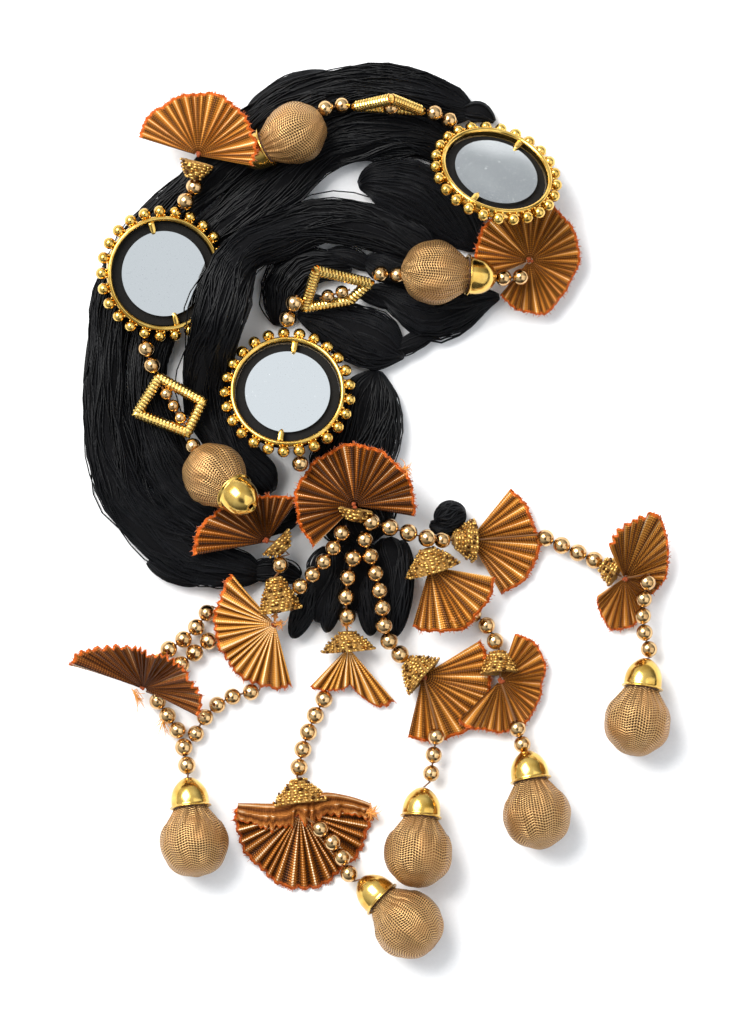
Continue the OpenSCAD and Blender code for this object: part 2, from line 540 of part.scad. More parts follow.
module felt_cone(row, corners = 12) {
    tip = plan(row[0], row[1], row[2]);
    mouth = plan(row[3], row[4], row[5]);
    d = unit(mouth - tip);
    s = side_of(d);
    u = cross(d, s);
    loops = [
        [tip, tip_r, tip_r], [tip * 0.5 + mouth * 0.5, (tip_r + row[6]) * 0.56, (tip_r + row[7]) * 0.56],
        [mouth, row[6], row[7]], [mouth, row[6] - felt_t, row[7] - felt_t],
        [tip + d * 2 * felt_t, bore_r, bore_r], [tip, bore_r, bore_r]];
    wrap([for (loop = loops)
        [for (j = [0 : corners - 1])
            let (a = -j * 360 / corners)
            loop[0] + s * loop[1] * cos(a) + u * loop[2] * sin(a)]]);
}
module garland_cones() color("goldenrod") {
    for (row = garland_cone_rows) felt_cone(row);
}
module tassel_cones() color("goldenrod") {
    for (row = tassel_cone_rows) felt_cone(row);
}

// Everything drawn.
outer_hank();
middle_hank();
inner_hank();
side_hank();
upper_fold();
lower_folds();
inner_folds();
hank_knobs();
ring_left();
ring_centre();
ring_right();
backing_left();
backing_centre();
backing_right();
mirror_left();
mirror_centre();
mirror_right();
wound_frame_left();
wound_frame_top();
wound_frame_centre();
garland_beads();
garland_thread();
garland_cones();
ball_top();
ball_centre();
ball_left();
ball_strand_1();
ball_strand_2();
ball_strand_3();
ball_strand_4();
ball_strand_5();
cap_top();
cap_centre();
cap_left();
cap_strand_1();
cap_strand_2();
cap_strand_3();
cap_strand_4();
cap_strand_5();
fan_top_left();
fan_right();
fan_lower_left();
fan_head();
fan_strand_1_upper();
fan_strand_1_lower();
fan_strand_2_upper();
fan_strand_2_lower();
fan_strand_3();
fan_strand_4_upper();
fan_strand_4_lower();
fan_strand_5_upper();
fan_strand_5_lower();
strand_1();
strand_2();
strand_3();
strand_4();
strand_5();
tassel_thread();
tassel_cones();
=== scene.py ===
"""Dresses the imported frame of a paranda: thread hanks, a mirrored garland and a tassel of bead strands."""

import logging
from dataclasses import dataclass
from enum import Enum

import bpy
import numpy as np
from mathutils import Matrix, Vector


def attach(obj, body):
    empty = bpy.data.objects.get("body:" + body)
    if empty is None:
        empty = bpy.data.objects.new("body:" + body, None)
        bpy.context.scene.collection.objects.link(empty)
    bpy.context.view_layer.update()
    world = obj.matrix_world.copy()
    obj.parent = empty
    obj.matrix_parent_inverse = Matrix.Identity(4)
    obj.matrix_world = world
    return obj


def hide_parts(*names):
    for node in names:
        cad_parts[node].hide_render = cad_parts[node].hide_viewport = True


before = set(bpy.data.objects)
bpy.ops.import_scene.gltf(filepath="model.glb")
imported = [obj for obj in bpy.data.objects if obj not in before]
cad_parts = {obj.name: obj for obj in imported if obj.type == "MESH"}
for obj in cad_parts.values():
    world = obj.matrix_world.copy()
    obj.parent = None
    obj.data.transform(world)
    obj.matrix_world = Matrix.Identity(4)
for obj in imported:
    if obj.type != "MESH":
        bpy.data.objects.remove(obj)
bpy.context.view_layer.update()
LOG = logging.getLogger("paranda")

Colour = tuple[float, float, float]
Socket = bpy.types.NodeSocket
Number = Socket | float
Tone = Socket | Colour
Material = bpy.types.Material
Piece = bpy.types.Object
Rows = list[list[float]]

SQUARE = 0.0003
MIDDLE_COLUMN = 368.5
MIDDLE_ROW = 511.9
MM = 0.001
UP = np.array([0.0, 0.0, 1.0])
SLANT = np.array([0.31, 0.17, 0.94])
TURN = 2 * np.pi
TINY = 1e-12
MEAN_COS = 0.6
BLACK = (0.0, 0.0, 0.0)
WHITE = (1.0, 1.0, 1.0)


# Places and surfaces

def plan(places: np.ndarray) -> np.ndarray:
    """Turn [column, row, height in mm] on the squared drawing into metres.

    Columns run along +X and rows along -Y, each square of the drawing is SQUARE wide.

    Args:
        places: array whose last axis is [column, row, height in mm].

    Returns:
        The same places in the frame, in metres.
    """
    p = np.asarray(places, float)
    x, y = (p[..., 0] - MIDDLE_COLUMN) * SQUARE, (MIDDLE_ROW - p[..., 1]) * SQUARE
    return np.stack([x, y, p[..., 2] * MM], -1)


def unit(v: np.ndarray) -> np.ndarray:
    """Each vector divided by its own length."""
    return v / np.maximum(np.linalg.norm(v, axis=-1, keepdims=True), TINY)


def angles(count: int) -> np.ndarray:
    """Even angles of one full turn."""
    return TURN * np.arange(count) / count


def square_to(axis: np.ndarray, guide: np.ndarray) -> tuple[np.ndarray, np.ndarray]:
    """Two directions square to an axis and to each other, the first one also square to the guide."""
    side = unit(np.cross(axis, guide))
    return side, np.cross(axis, side)


def circle(side: np.ndarray, other: np.ndarray, q: np.ndarray) -> np.ndarray:
    """The directions side cos(q) + other sin(q)."""
    return side * np.cos(q)[..., None] + other * np.sin(q)[..., None]


def run_of(points: np.ndarray) -> np.ndarray:
    """Distance along a line of points, from 0 at its start."""
    return np.concatenate([[0], np.cumsum(np.linalg.norm(np.diff(points, axis=0), axis=1))])


def above(places: np.ndarray, least: float) -> np.ndarray:
    """The places, lifted to at least this height over the table."""
    return np.concatenate([places[..., :2], np.maximum(places[..., 2:], least)], -1)


def smooth_rows(rows: Rows, count: int) -> np.ndarray:
    """Read a table at evenly spaced places along it, on a cubic through four neighbouring rows.

    Args:
        rows: table of values, one station a row.
        count: how many places to read.

    Returns:
        Array of count rows.
    """
    rows = np.asarray(rows, float)
    t = np.linspace(0, len(rows) - 1, count)
    i = np.clip(np.floor(t).astype(int), 0, len(rows) - 2)
    f = (t - i)[:, None]
    a, b = rows[np.maximum(i - 1, 0)], rows[i]
    c, d = rows[i + 1], rows[np.minimum(i + 2, len(rows) - 1)]
    cubic = (3 * b - a - 3 * c + d) * f ** 3 + (2 * a - 5 * b + 4 * c - d) * f ** 2
    return 0.5 * (2 * b + (c - a) * f + cubic)


def waver(rng: np.random.Generator, shape: tuple[int, ...], along: np.ndarray,
          waves: tuple[float, ...]) -> np.ndarray:
    """Slow random swings: a sum of sines of the given wave lengths, each with its own random phase.

    Args:
        rng: seeded source of phases.
        shape: shape of the group that each gets its own swing.
        along: distance along the path.
        waves: wave lengths, in the unit of along.

    Returns:
        Array of shape + (len(along),), with values of about -1 to 1.
    """
    total = np.zeros(shape + (len(along),))
    for wave in waves:
        phase = rng.uniform(0, TURN, shape)[..., None]
        total += np.sin(TURN * along / wave + phase)
    return total / np.sqrt(len(waves))


def lattice(rows: int, columns: int, close_rows: bool = False,
            close_columns: bool = False) -> tuple[np.ndarray, np.ndarray]:
    """The quads of a grid of points.

    Args:
        rows: points along the first parameter.
        columns: points along the second parameter.
        close_rows: whether the last row joins the first.
        close_columns: whether the last column joins the first.

    Returns:
        Corner numbers (faces, 4), and each corner's [row, column], counted on past a closed edge.
    """
    i, j = np.arange(rows - (not close_rows)), np.arange(columns - (not close_columns))
    steps = np.array([[0, 0], [0, 1], [1, 1], [1, 0]])
    spots = np.stack(np.meshgrid(i, j, indexing="ij"), -1).reshape(-1, 1, 2) + steps
    numbers = (spots[..., 0] % rows) * columns + spots[..., 1] % columns
    return numbers, spots


@dataclass
class Skin:
    """A surface in the making: points, faces in groups, a UV for each face corner, a tone for each point."""

    points: np.ndarray
    faces: list[np.ndarray]
    uvs: list[np.ndarray]
    tone: np.ndarray

    @staticmethod
    def joined(skins: list["Skin"]) -> "Skin":
        """Put several surfaces into one, each with its corner numbers moved past those before it.

        Args:
            skins: the surfaces.

        Returns:
            The joined surface.
        """
        starts = np.cumsum([0] + [len(s.points) for s in skins])
        faces = [f + start for s, start in zip(skins, starts) for f in s.faces]
        uvs = [u for s in skins for u in s.uvs]
        points = np.concatenate([s.points for s in skins])
        return Skin(points, faces, uvs, np.concatenate([s.tone for s in skins]))

    def make(self, name: str, paint: Material, slot: str, smooth: bool = True) -> Piece:
        """Make the surface a mesh object that rides on the frame.

        Args:
            name: name of the piece.
            paint: its material.
            slot: name of a material slot of the record; not used.
            smooth: whether its faces are shaded smooth.

        Returns:
            The new object.
        """
        mesh = bpy.data.meshes.new(name)
        mesh.vertices.add(len(self.points))
        mesh.vertices.foreach_set("co", self.points.astype(np.float32).ravel())
        corners = np.concatenate([f.ravel() for f in self.faces]).astype(np.int32)
        sizes = np.concatenate([np.full(len(f), f.shape[1]) for f in self.faces])
        starts = np.concatenate([[0], np.cumsum(sizes)[:-1]])
        uvs = np.concatenate([u.reshape(-1, 2) for u in self.uvs])
        mesh.loops.add(len(corners))
        mesh.loops.foreach_set("vertex_index", corners)
        mesh.polygons.add(len(sizes))
        mesh.polygons.foreach_set("loop_start", starts.astype(np.int32))
        mesh.polygons.foreach_set("use_smooth", np.full(len(sizes), smooth))
        mesh.update(calc_edges=True)
        mesh.uv_layers.new(name="UVMap").data.foreach_set("uv", uvs.astype(np.float32).ravel())
        shade = mesh.attributes.new("tone", "FLOAT", "POINT")
        shade.data.foreach_set("value", self.tone.astype(np.float32))
        mesh.materials.append(paint)
        piece = bpy.data.objects.new(name, mesh)
        bpy.context.scene.collection.objects.link(piece)
        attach(piece, "root")
        return piece


def tubes(paths: np.ndarray, wide: np.ndarray, sides: int, up: np.ndarray = UP,
          high: np.ndarray | None = None, tone: np.ndarray | None = None) -> Skin:
    """Carry an ellipse along many paths at once, with a flat face at each end.

    At each place the ellipse stands square to the path; its width lies along up x tangent, and its height
    along tangent x width.

    Args:
        paths: places (tubes, stations, 3) in metres.
        wide: half width at each place, or one for all.
        sides: corners of the ellipse.
        up: direction that the height leans to, one for all or one for each place.
        high: half height, as wide when left out.
        tone: a number for each tube, kept for its material.

    Returns:
        The surface, with UV = (length along the tube in mm, share of the way round).
    """
    count, stations, _ = paths.shape
    tangent = unit(np.gradient(paths, axis=1))
    across = unit(np.cross(np.broadcast_to(up, paths.shape), tangent))
    lift = np.cross(tangent, across)
    wide = np.broadcast_to(wide, (count, stations))
    high = wide if high is None else np.broadcast_to(high, (count, stations))
    q = angles(sides)
    ring = across[:, :, None] * (wide[..., None] * np.cos(q))[..., None]
    ring = ring + lift[:, :, None] * (high[..., None] * np.sin(q))[..., None]
    points = (paths[:, :, None] + ring).reshape(-1, 3)
    one, spots = lattice(stations, sides, close_columns=True)
    starts = np.arange(count)[:, None] * stations * sides
    step = np.linalg.norm(np.diff(paths, axis=1), axis=-1).mean(1) / MM
    u = spots[None, ..., 0] * step[:, None, None]
    v = np.broadcast_to(spots[None, ..., 1] / sides, u.shape)
    near = starts + np.arange(sides)[::-1]
    far = starts + (stations - 1) * sides + np.arange(sides)
    flat = np.zeros((count, sides, 2))
    faces = [(one[None] + starts[..., None]).reshape(-1, 4), near, far]
    uvs = [np.stack([u, v], -1).reshape(-1, 4, 2), flat, flat]
    tone = np.zeros(count) if tone is None else tone
    return Skin(points, faces, uvs, np.repeat(tone, stations * sides))


def balls(places: np.ndarray, radius: np.ndarray, ball: np.ndarray, sides: int, tone: np.ndarray) -> Skin:
    """Set a ball at each place: points = place + ball * radius.

    Args:
        places: centres (balls, 3).
        radius: radius of each ball, or one for all.
        ball: points (balls or 1, points, 3) in radii, as rings of corners and then the two poles.
        sides: corners of a ring.
        tone: a number for each ball or one for all, kept for its material.

    Returns:
        The surface of all balls.
    """
    count, corners = len(places), ball.shape[1]
    radius, tone = np.broadcast_to(radius, (count,)), np.broadcast_to(tone, (count,))
    points = places[:, None] + ball * radius[:, None, None]
    belt, _ = lattice((corners - 2) // sides, sides, close_columns=True)
    j = np.arange(sides)
    k = (j + 1) % sides
    last = corners - 2 - sides
    low = np.stack([np.full(sides, corners - 2), k, j], -1)
    top = np.stack([last + j, last + k, np.full(sides, corners - 1)], -1)
    starts = np.arange(count)[:, None, None] * corners
    faces = [(part[None] + starts).reshape(-1, part.shape[1]) for part in (belt, low, top)]
    uvs = [np.zeros(f.shape + (2,)) for f in faces]
    return Skin(points.reshape(-1, 3), faces, uvs, np.repeat(tone, corners))


def seeds(places: np.ndarray, radius: np.ndarray, axis: np.ndarray, long: float, tone: np.ndarray) -> Skin:
    """Set a small bead at each place, of two rings of six corners, drawn out along its own axis.

    Args:
        places: centres (beads, 3).
        radius: radius of each bead.
        axis: direction of each bead's hole.
        long: length of a bead as a share of its width.
        tone: a number for each bead, kept for its material.

    Returns:
        The surface of all beads.
    """
    sides, heights, steep = 6, np.array([-0.5, 0.5]), 0.9
    axis = unit(axis)
    side, other = square_to(axis, np.where(np.abs(axis[:, 2:]) > steep, [1.0, 0, 0], UP))
    ring = circle(side[:, None], other[:, None], angles(sides))[:, None]
    body = ring * np.sqrt(1 - heights ** 2)[:, None, None]
    body = body + axis[:, None, None] * (heights * long)[:, None, None]
    poles = axis[:, None] * np.array([-long, long])[:, None]
    return balls(places, radius, np.concatenate([body.reshape(len(axis), -1, 3), poles], 1), sides, tone)


def pearls(places: np.ndarray, radius: float, axis: np.ndarray, sides: int) -> Skin:
    """Set a round ball at each place, as rings of corners between two poles.

    Args:
        places: centres (balls, 3).
        radius: radius of the balls.
        axis: direction of their poles.
        sides: corners of a ring; half as many steps lead from pole to pole.

    Returns:
        The surface of all balls.
    """
    steps = sides // 2
    polar = (np.pi * np.arange(1, steps) / steps)[:, None, None]
    body = circle(*square_to(axis, SLANT), angles(sides)) * np.sin(polar) - axis * np.cos(polar)
    ball = np.concatenate([body.reshape(-1, 3), -axis[None], axis[None]])
    return balls(places, radius, ball[None], sides, 0.0)


def lathe(profile: np.ndarray, at: np.ndarray, axis: np.ndarray, columns: int) -> Skin:
    """Turn a closed outline of [radius, height along the axis] round an axis.

    Args:
        profile: outline in metres; with the radius to the right and the axis up, the solid lies on its left.
        at: where the height is 0.
        axis: direction of the height.
        columns: places round the axis.

    Returns:
        The surface, closed both ways.
    """
    out = circle(*square_to(axis, SLANT), angles(columns))
    points = at + profile[:, None, :1] * out[None] + profile[:, None, 1:] * axis
    faces, spots = lattice(len(profile), columns, close_rows=True, close_columns=True)
    uv = spots[..., ::-1] / np.array([columns, len(profile)])
    return Skin(points.reshape(-1, 3), [faces], [uv], np.zeros(len(profile) * columns))


# Finishes

class NodeSteps:
    """Builds a node tree, one named step at a time."""

    def __init__(self, tree: bpy.types.NodeTree) -> None:
        """Start on a tree."""
        self.tree = tree

    def step(self, kind: str, **settings: object) -> bpy.types.Node:
        """Add a node.

        Args:
            kind: the node's type.
            settings: its settings by name.

        Returns:
            The node.
        """
        node = self.tree.nodes.new(kind)
        for key, value in settings.items():
            setattr(node, key, value)
        return node

    def feed(self, source: object, target: Socket) -> None:
        """Join a socket to a target, or set the target to a value.

        Args:
            source: socket, number or row of numbers.
            target: the input.
        """
        if isinstance(source, Socket):
            self.tree.links.new(source, target)
        else:
            target.default_value = source

    def sum(self, kind: str, a: Number, b: Number = 0.0, c: Number = 0.0) -> Socket:
        """One sum of up to three numbers.

        Args:
            kind: the sum, such as ADD or MULTIPLY_ADD.
            a: first number.
            b: second number.
            c: third number.

        Returns:
            The result.
        """
        node = self.step("ShaderNodeMath", operation=kind)
        for value, socket in zip((a, b, c), node.inputs):
            self.feed(value, socket)
        return node.outputs[0]


class Painter(NodeSteps):
    """Builds one material round a principled shader."""

    def __init__(self, name: str) -> None:
        """Start a material.

        Args:
            name: name of the material.
        """
        self.material = bpy.data.materials.new(name)
        self.material.use_nodes = True
        super().__init__(self.material.node_tree)

    def set(self, name: str, value: object) -> None:
        """Feed one input of the shader."""
        self.feed(value, self.tree.nodes["Principled BSDF"].inputs[name])

    def uv(self) -> tuple[Socket, Socket]:
        """Read the piece's own UV.

        Returns:
            Its two numbers.
        """
        parts = self.step("ShaderNodeSeparateXYZ")
        self.feed(self.step("ShaderNodeUVMap", uv_map="UVMap").outputs[0], parts.inputs[0])
        return parts.outputs[0], parts.outputs[1]

    def tone(self) -> Socket:
        """The number that the mesh keeps for each point."""
        return self.step("ShaderNodeAttribute", attribute_name="tone").outputs["Fac"]

    def scaled(self, a: Number, b: Number, c: Number = 0.0) -> Socket:
        """The sum a * b + c."""
        return self.sum("MULTIPLY_ADD", a, b, c)

    def ripple(self, phase: Number) -> Socket:
        """A wave between 0 and 1."""
        return self.scaled(self.sum("SINE", phase), 0.5, 0.5)

    def grain(self, scale: float, detail: float = 2.0) -> Socket:
        """Cloudy noise in Object coordinates.

        Args:
            scale: cells in a metre.
            detail: finer layers.

        Returns:
            The noise, 0 to 1.
        """
        node = self.step("ShaderNodeTexNoise")
        self.feed(scale, node.inputs["Scale"])
        self.feed(detail, node.inputs["Detail"])
        self.feed(self.step("ShaderNodeTexCoord").outputs["Object"], node.inputs["Vector"])
        return node.outputs["Fac"]

    def shades(self, amount: Socket, *stops: tuple[float, Colour]) -> Socket:
        """Turn an amount into a colour on a ramp.

        Args:
            amount: number of 0 to 1.
            stops: places on the ramp with their colours.

        Returns:
            The colour.
        """
        node = self.step("ShaderNodeValToRGB")
        ramp = node.color_ramp
        while len(ramp.elements) < len(stops):
            ramp.elements.new(0.5)
        for element, (place, colour) in zip(ramp.elements, stops):
            element.position = place
            element.color = (*colour, 1.0)
        self.feed(amount, node.inputs[0])
        return node.outputs[0]

    def rise(self, amount: Socket, low: float, high: float) -> Socket:
        """A slope from 0 at low to 1 at high."""
        return self.shades(amount, (low, BLACK), (high, WHITE))

    def clouded(self, noise: Socket, low: Colour, high: Colour) -> Socket:
        """A colour that goes from low to high over the middle of a noise."""
        return self.shades(noise, (0.3, low), (0.7, high))

    def blend(self, amount: Number, a: Tone, b: Tone) -> Socket:
        """Mix two colours.

        Args:
            amount: share of the second.
            a: first colour.
            b: second colour.

        Returns:
            The mixed colour.
        """
        node = self.step("ShaderNodeMix", data_type="RGBA")
        self.feed(amount, node.inputs[0])
        for value, socket in ((a, node.inputs[6]), (b, node.inputs[7])):
            self.feed(value if isinstance(value, Socket) else (*value, 1.0), socket)
        return node.outputs[2]

    def finish(self, colour: Socket, metal: float, rough: Number, shine: float = 0.5) -> Material:
        """Give the shader its main inputs.

        Args:
            colour: base colour.
            metal: how metallic the surface is.
            rough: how rough it is.
            shine: how strongly its plain part reflects.

        Returns:
            The material.
        """
        self.set("Base Color", colour)
        self.set("Metallic", metal)
        self.set("Roughness", rough)
        self.set("Specular IOR Level", shine)
        return self.material

    def relief(self, height: Socket, strength: float, depth: float) -> None:
        """Bump the surface.

        Args:
            height: height as a share of the depth.
            strength: how strongly it shows.
            depth: depth in metres.
        """
        node = self.step("ShaderNodeBump")
        self.feed(strength, node.inputs["Strength"])
        self.feed(depth, node.inputs["Distance"])
        self.feed(height, node.inputs["Height"])
        self.set("Normal", node.outputs[0])


@dataclass(frozen=True)
class TwistedThread:
    """Thread of two plies: a spiral of painted highlight on the plies and painted shade between them,
    along the UV, and a tone for each thread.
    """

    name: str
    dark: Colour
    light: Colour
    ply_mm: float = 1.1
    ply_share: float = 0.4
    ply_deep: float = 0.0002
    rough: float = 0.5
    shine: float = 0.5
    sheen: float = 0.3
    sheen_rough: float = 0.4
    sheen_tint: Colour = (0.75, 0.82, 1.0)

    def paint(self) -> Material:
        """Make the material.

        Returns:
            The material.
        """
        p = Painter(self.name)
        along, around = p.uv()
        # The plies' spiral paints highlight on each ply and shade in the groove between them.
        plies = p.ripple(p.scaled(along, TURN / self.ply_mm, p.sum("MULTIPLY", around, 2 * TURN)))
        mixed = p.scaled(p.tone(), 1.0 - self.ply_share, p.sum("MULTIPLY", plies, self.ply_share))
        p.relief(plies, self.ply_share, self.ply_deep)
        p.set("Sheen Weight", self.sheen)
        p.set("Sheen Roughness", self.sheen_rough)
        p.set("Sheen Tint", (*self.sheen_tint, 1.0))
        return p.finish(p.shades(mixed, (0.0, self.dark), (1.0, self.light)), 0.0, self.rough, self.shine)


@dataclass(frozen=True)
class GiltFinish:
    """Polished plated metal with clouds of tone, fine scratches and a slightly uneven surface."""

    name: str
    low: Colour
    high: Colour
    rough: float = 0.16
    cloud: float = 260.0
    dent: float = 0.12
    dent_deep: float = 0.0004
    scratch: float = 2400.0
    scratch_rough: float = 0.16
    polish: float = 0.06

    def paint(self) -> Material:
        """Make the material.

        Returns:
            The material.
        """
        p = Painter(self.name)
        clouds = p.grain(self.cloud, 3.0)
        rough = p.scaled(p.grain(self.scratch), self.scratch_rough, self.rough - self.polish)
        p.relief(clouds, self.dent, self.dent_deep)
        return p.finish(p.clouded(clouds, self.low, self.high), 1.0, rough)


@dataclass(frozen=True)
class MirrorFinish:
    """Silvered glass, very slightly wavy, with a few dull specks."""

    name: str = "craft mirror"
    silver: Colour = (0.78, 0.8, 0.8)
    speck: Colour = (0.55, 0.57, 0.58)
    speck_scale: float = 1500.0
    speck_rise: tuple[float, float] = (0.62, 0.8)
    speck_rough: float = 0.2
    rough: float = 0.05
    wave_scale: float = 45.0
    wave: float = 0.12
    wave_deep: float = 0.0004

    def paint(self) -> Material:
        """Make the material.

        Returns:
            The material.
        """
        p = Painter(self.name)
        specks = p.rise(p.grain(self.speck_scale, 3.0), *self.speck_rise)
        p.relief(p.grain(self.wave_scale, 1.0), self.wave, self.wave_deep)
        rough = p.scaled(specks, self.speck_rough, self.rough)
        return p.finish(p.blend(specks, self.silver, self.speck), 1.0, rough)


class Weave(Enum):
    """How cloth is woven: strips in a millimetre, or in a ribbon's width, and threads in a millimetre."""

    RIBBON = (27.0, 1.3)
    TISSUE = (1.3, 1.15)


@dataclass(frozen=True)
class TissueFinish:
    """Woven metallic tissue, from the UV in millimetres.

    Bright flat strips run across the gathers and are crossed by matt threads, which show as dots. The cloth
    is cut in gores: inside each the strips lean one way and then the other, so that they meet in a zigzag.
    The holes of the net between strips and threads carry painted shade.
    In patches the net shows more: a painted sheen on the strips and deeper painted shade in the holes.
    """

    name: str
    matt: Colour
    bright: Colour
    # deep: colour of the painted shade in the holes of the net.
    deep: Colour
    weave: Weave = Weave.TISSUE
    gore_mm: float = 6.6
    lean: float = 0.3
    warp_mm: float = 2.2
    warp_scale: float = 120.0
    sheen_patch_scale: float = 95.0
    strip_share: float = 0.35
    contrast: tuple[float, float] = (0.18, 0.42)
    level: tuple[float, float] = (0.42, -0.16)
    sheen_patch_rise: tuple[float, float] = (0.36, 0.62)
    stops: tuple[float, ...] = (0.08, 0.4, 0.86)
    dark_patch_scale: float = 420.0
    dark_patch_share: float = 0.3
    metal: float = 0.7
    rough: tuple[float, float] = (0.5, -0.2)
    relief: tuple[float, float] = (0.8, 0.0003)

    def paint(self) -> Material:
        """Make the material.

        Returns:
            The material.
        """
        p = Painter(self.name)
        along, around = p.uv()
        place = p.scaled(p.sum("PINGPONG", around, self.gore_mm / 2), self.lean, along)
        place = p.scaled(p.grain(self.warp_scale, 1.0), self.warp_mm, place)
        strips, dots = (p.sum("SINE", p.sum("MULTIPLY", at, TURN * count))
                        for at, count in zip((place, around), self.weave.value))
        # Patches of painted sheen on the strips and deeper painted shade in the holes.
        sheen_patches = p.rise(p.grain(self.sheen_patch_scale), *self.sheen_patch_rise)
        contrast = p.scaled(sheen_patches, self.contrast[1], self.contrast[0])
        level = p.scaled(sheen_patches, self.level[1], self.level[0])
        net = p.scaled(strips, self.strip_share, p.sum("MAXIMUM", strips, dots))
        high = p.scaled(net, contrast, level)
        woven = p.shades(high, *zip(self.stops, (self.deep, self.matt, self.bright)))
        # Darker at random in patches, towards the colour of the holes.
        dark_patches = p.sum("MULTIPLY", p.grain(self.dark_patch_scale, 3.0), self.dark_patch_share)
        p.relief(high, *self.relief)
        rough = p.scaled(high, self.rough[1], self.rough[0])
        return p.finish(p.blend(dark_patches, woven, self.deep), self.metal, rough)


class Shade(Enum):
    """How much gold a ribbon shows: colours of the painted shade in its valleys, and of the lower, shaded
    and the upper, lit half of a panel.
    """

    GOLD = ((0.07, 0.019, 0.002), (0.54, 0.2, 0.024), (0.96, 0.5, 0.1))
    BROWN = ((0.022, 0.006, 0.001), (0.22, 0.06, 0.005), (0.6, 0.21, 0.022))
    RUST = ((0.05, 0.013, 0.002), (0.27, 0.075, 0.01), (0.6, 0.24, 0.05))


@dataclass(frozen=True)
class PleatFinish:
    """Pleated metallic ribbon: painted highlight lines on the ridges, dotted panels shaded by their fold,
    painted shade in the valleys and an orange edge.

    The mesh keeps each point's fold (0 in a valley, 1 on a ridge) in its tone, and the colour follows it as
    painted light and shade. Its UV is (place across the pleats in mm, distance from the gathers as a
    share of the ribbon's width).
    """

    name: str
    shade: Shade
    # Colour of the painted highlight along the ridges.
    ridge: Colour = (1.0, 0.82, 0.54)
    edge: Colour = (0.6, 0.12, 0.014)
    edge_from: float = 0.97
    edge_soft: float = 0.02
    edge_ragged: float = 0.05
    weave: Weave = Weave.RIBBON
    ragged_scale: float = 900.0
    glint_share: float = 0.42
    fold_share: float = 0.8
    fold_from: float = -0.08
    stops: tuple[float, ...] = (0.14, 0.48, 0.9)
    dull_share: float = 0.16
    dull_scale: float = 90.0
    ridge_rise: tuple[float, float] = (0.88, 0.965)
    ridge_bands: float = 0.05
    metal: float = 0.36
    rough: tuple[float, float] = (0.42, -0.14)
    shine: float = 0.18
    thread_share: float = 0.4
    relief: tuple[float, float] = (0.6, 0.00025)

    def paint(self) -> Material:
        """Make the material.

        Returns:
            The material.
        """
        p = Painter(self.name)
        across, out = p.uv()
        bands, threads = (p.ripple(p.sum("MULTIPLY", at, TURN * count))
                          for at, count in zip((out, across), self.weave.value))
        fold = p.tone()
        glints = p.sum("MULTIPLY", bands, threads)
        # Painted light from the fold: panels darken towards the valleys and lighten towards the ridges.
        lit = p.scaled(glints, self.glint_share, p.scaled(fold, self.fold_share, self.fold_from))
        panel = p.shades(lit, *zip(self.stops, self.shade.value))
        dull = p.sum("MULTIPLY", p.grain(self.dull_scale), self.dull_share)
        panel = p.blend(dull, panel, self.shade.value[0])
        # Painted highlight along the ridges of the pleats.
        on_ridge = p.rise(p.scaled(bands, self.ridge_bands, fold), *self.ridge_rise)
        cloth = p.blend(on_ridge, panel, self.ridge)
        ragged = p.scaled(p.grain(self.ragged_scale), self.edge_ragged, out)
        coloured = p.blend(p.rise(ragged, self.edge_from, self.edge_from + self.edge_soft), cloth, self.edge)
        p.relief(p.scaled(threads, self.thread_share, bands), *self.relief)
        return p.finish(coloured, self.metal, p.scaled(bands, self.rough[1], self.rough[0]), self.shine)


@dataclass(frozen=True)
class SeedFinish:
    """Small glass beads, gold with some bronze ones, told apart by each bead's tone."""

    name: str = "gold seed beads"
    bronze: Colour = (0.08, 0.03, 0.006)
    brown: Colour = (0.38, 0.17, 0.03)
    gold: Colour = (0.78, 0.5, 0.14)
    brown_at: float = 0.35
    metal: float = 0.9
    rough: float = 0.28

    def paint(self) -> Material:
        """Make the material.

        Returns:
            The material.
        """
        p = Painter(self.name)
        colour = p.shades(p.tone(), (0.0, self.bronze), (self.brown_at, self.brown), (1.0, self.gold))
        return p.finish(colour, self.metal, self.rough)


@dataclass(frozen=True)
class FibreFinish:
    """Matt felt, card or paper: a plain colour with fibres as fine noise in tone and relief."""

    name: str
    low: Colour
    high: Colour
    shine: float = 0.5
    rough: float = 0.85
    scale: float = 3000.0
    detail: float = 4.0
    strength: float = 0.6
    deep: float = 0.0003

    def paint(self) -> Material:
        """Make the material.

        Returns:
            The material.
        """
        p = Painter(self.name)
        fibres = p.grain(self.scale, self.detail)
        if self.strength:
            p.relief(fibres, self.strength, self.deep)
        return p.finish(p.clouded(fibres, self.low, self.high), 0.0, self.rough, self.shine)


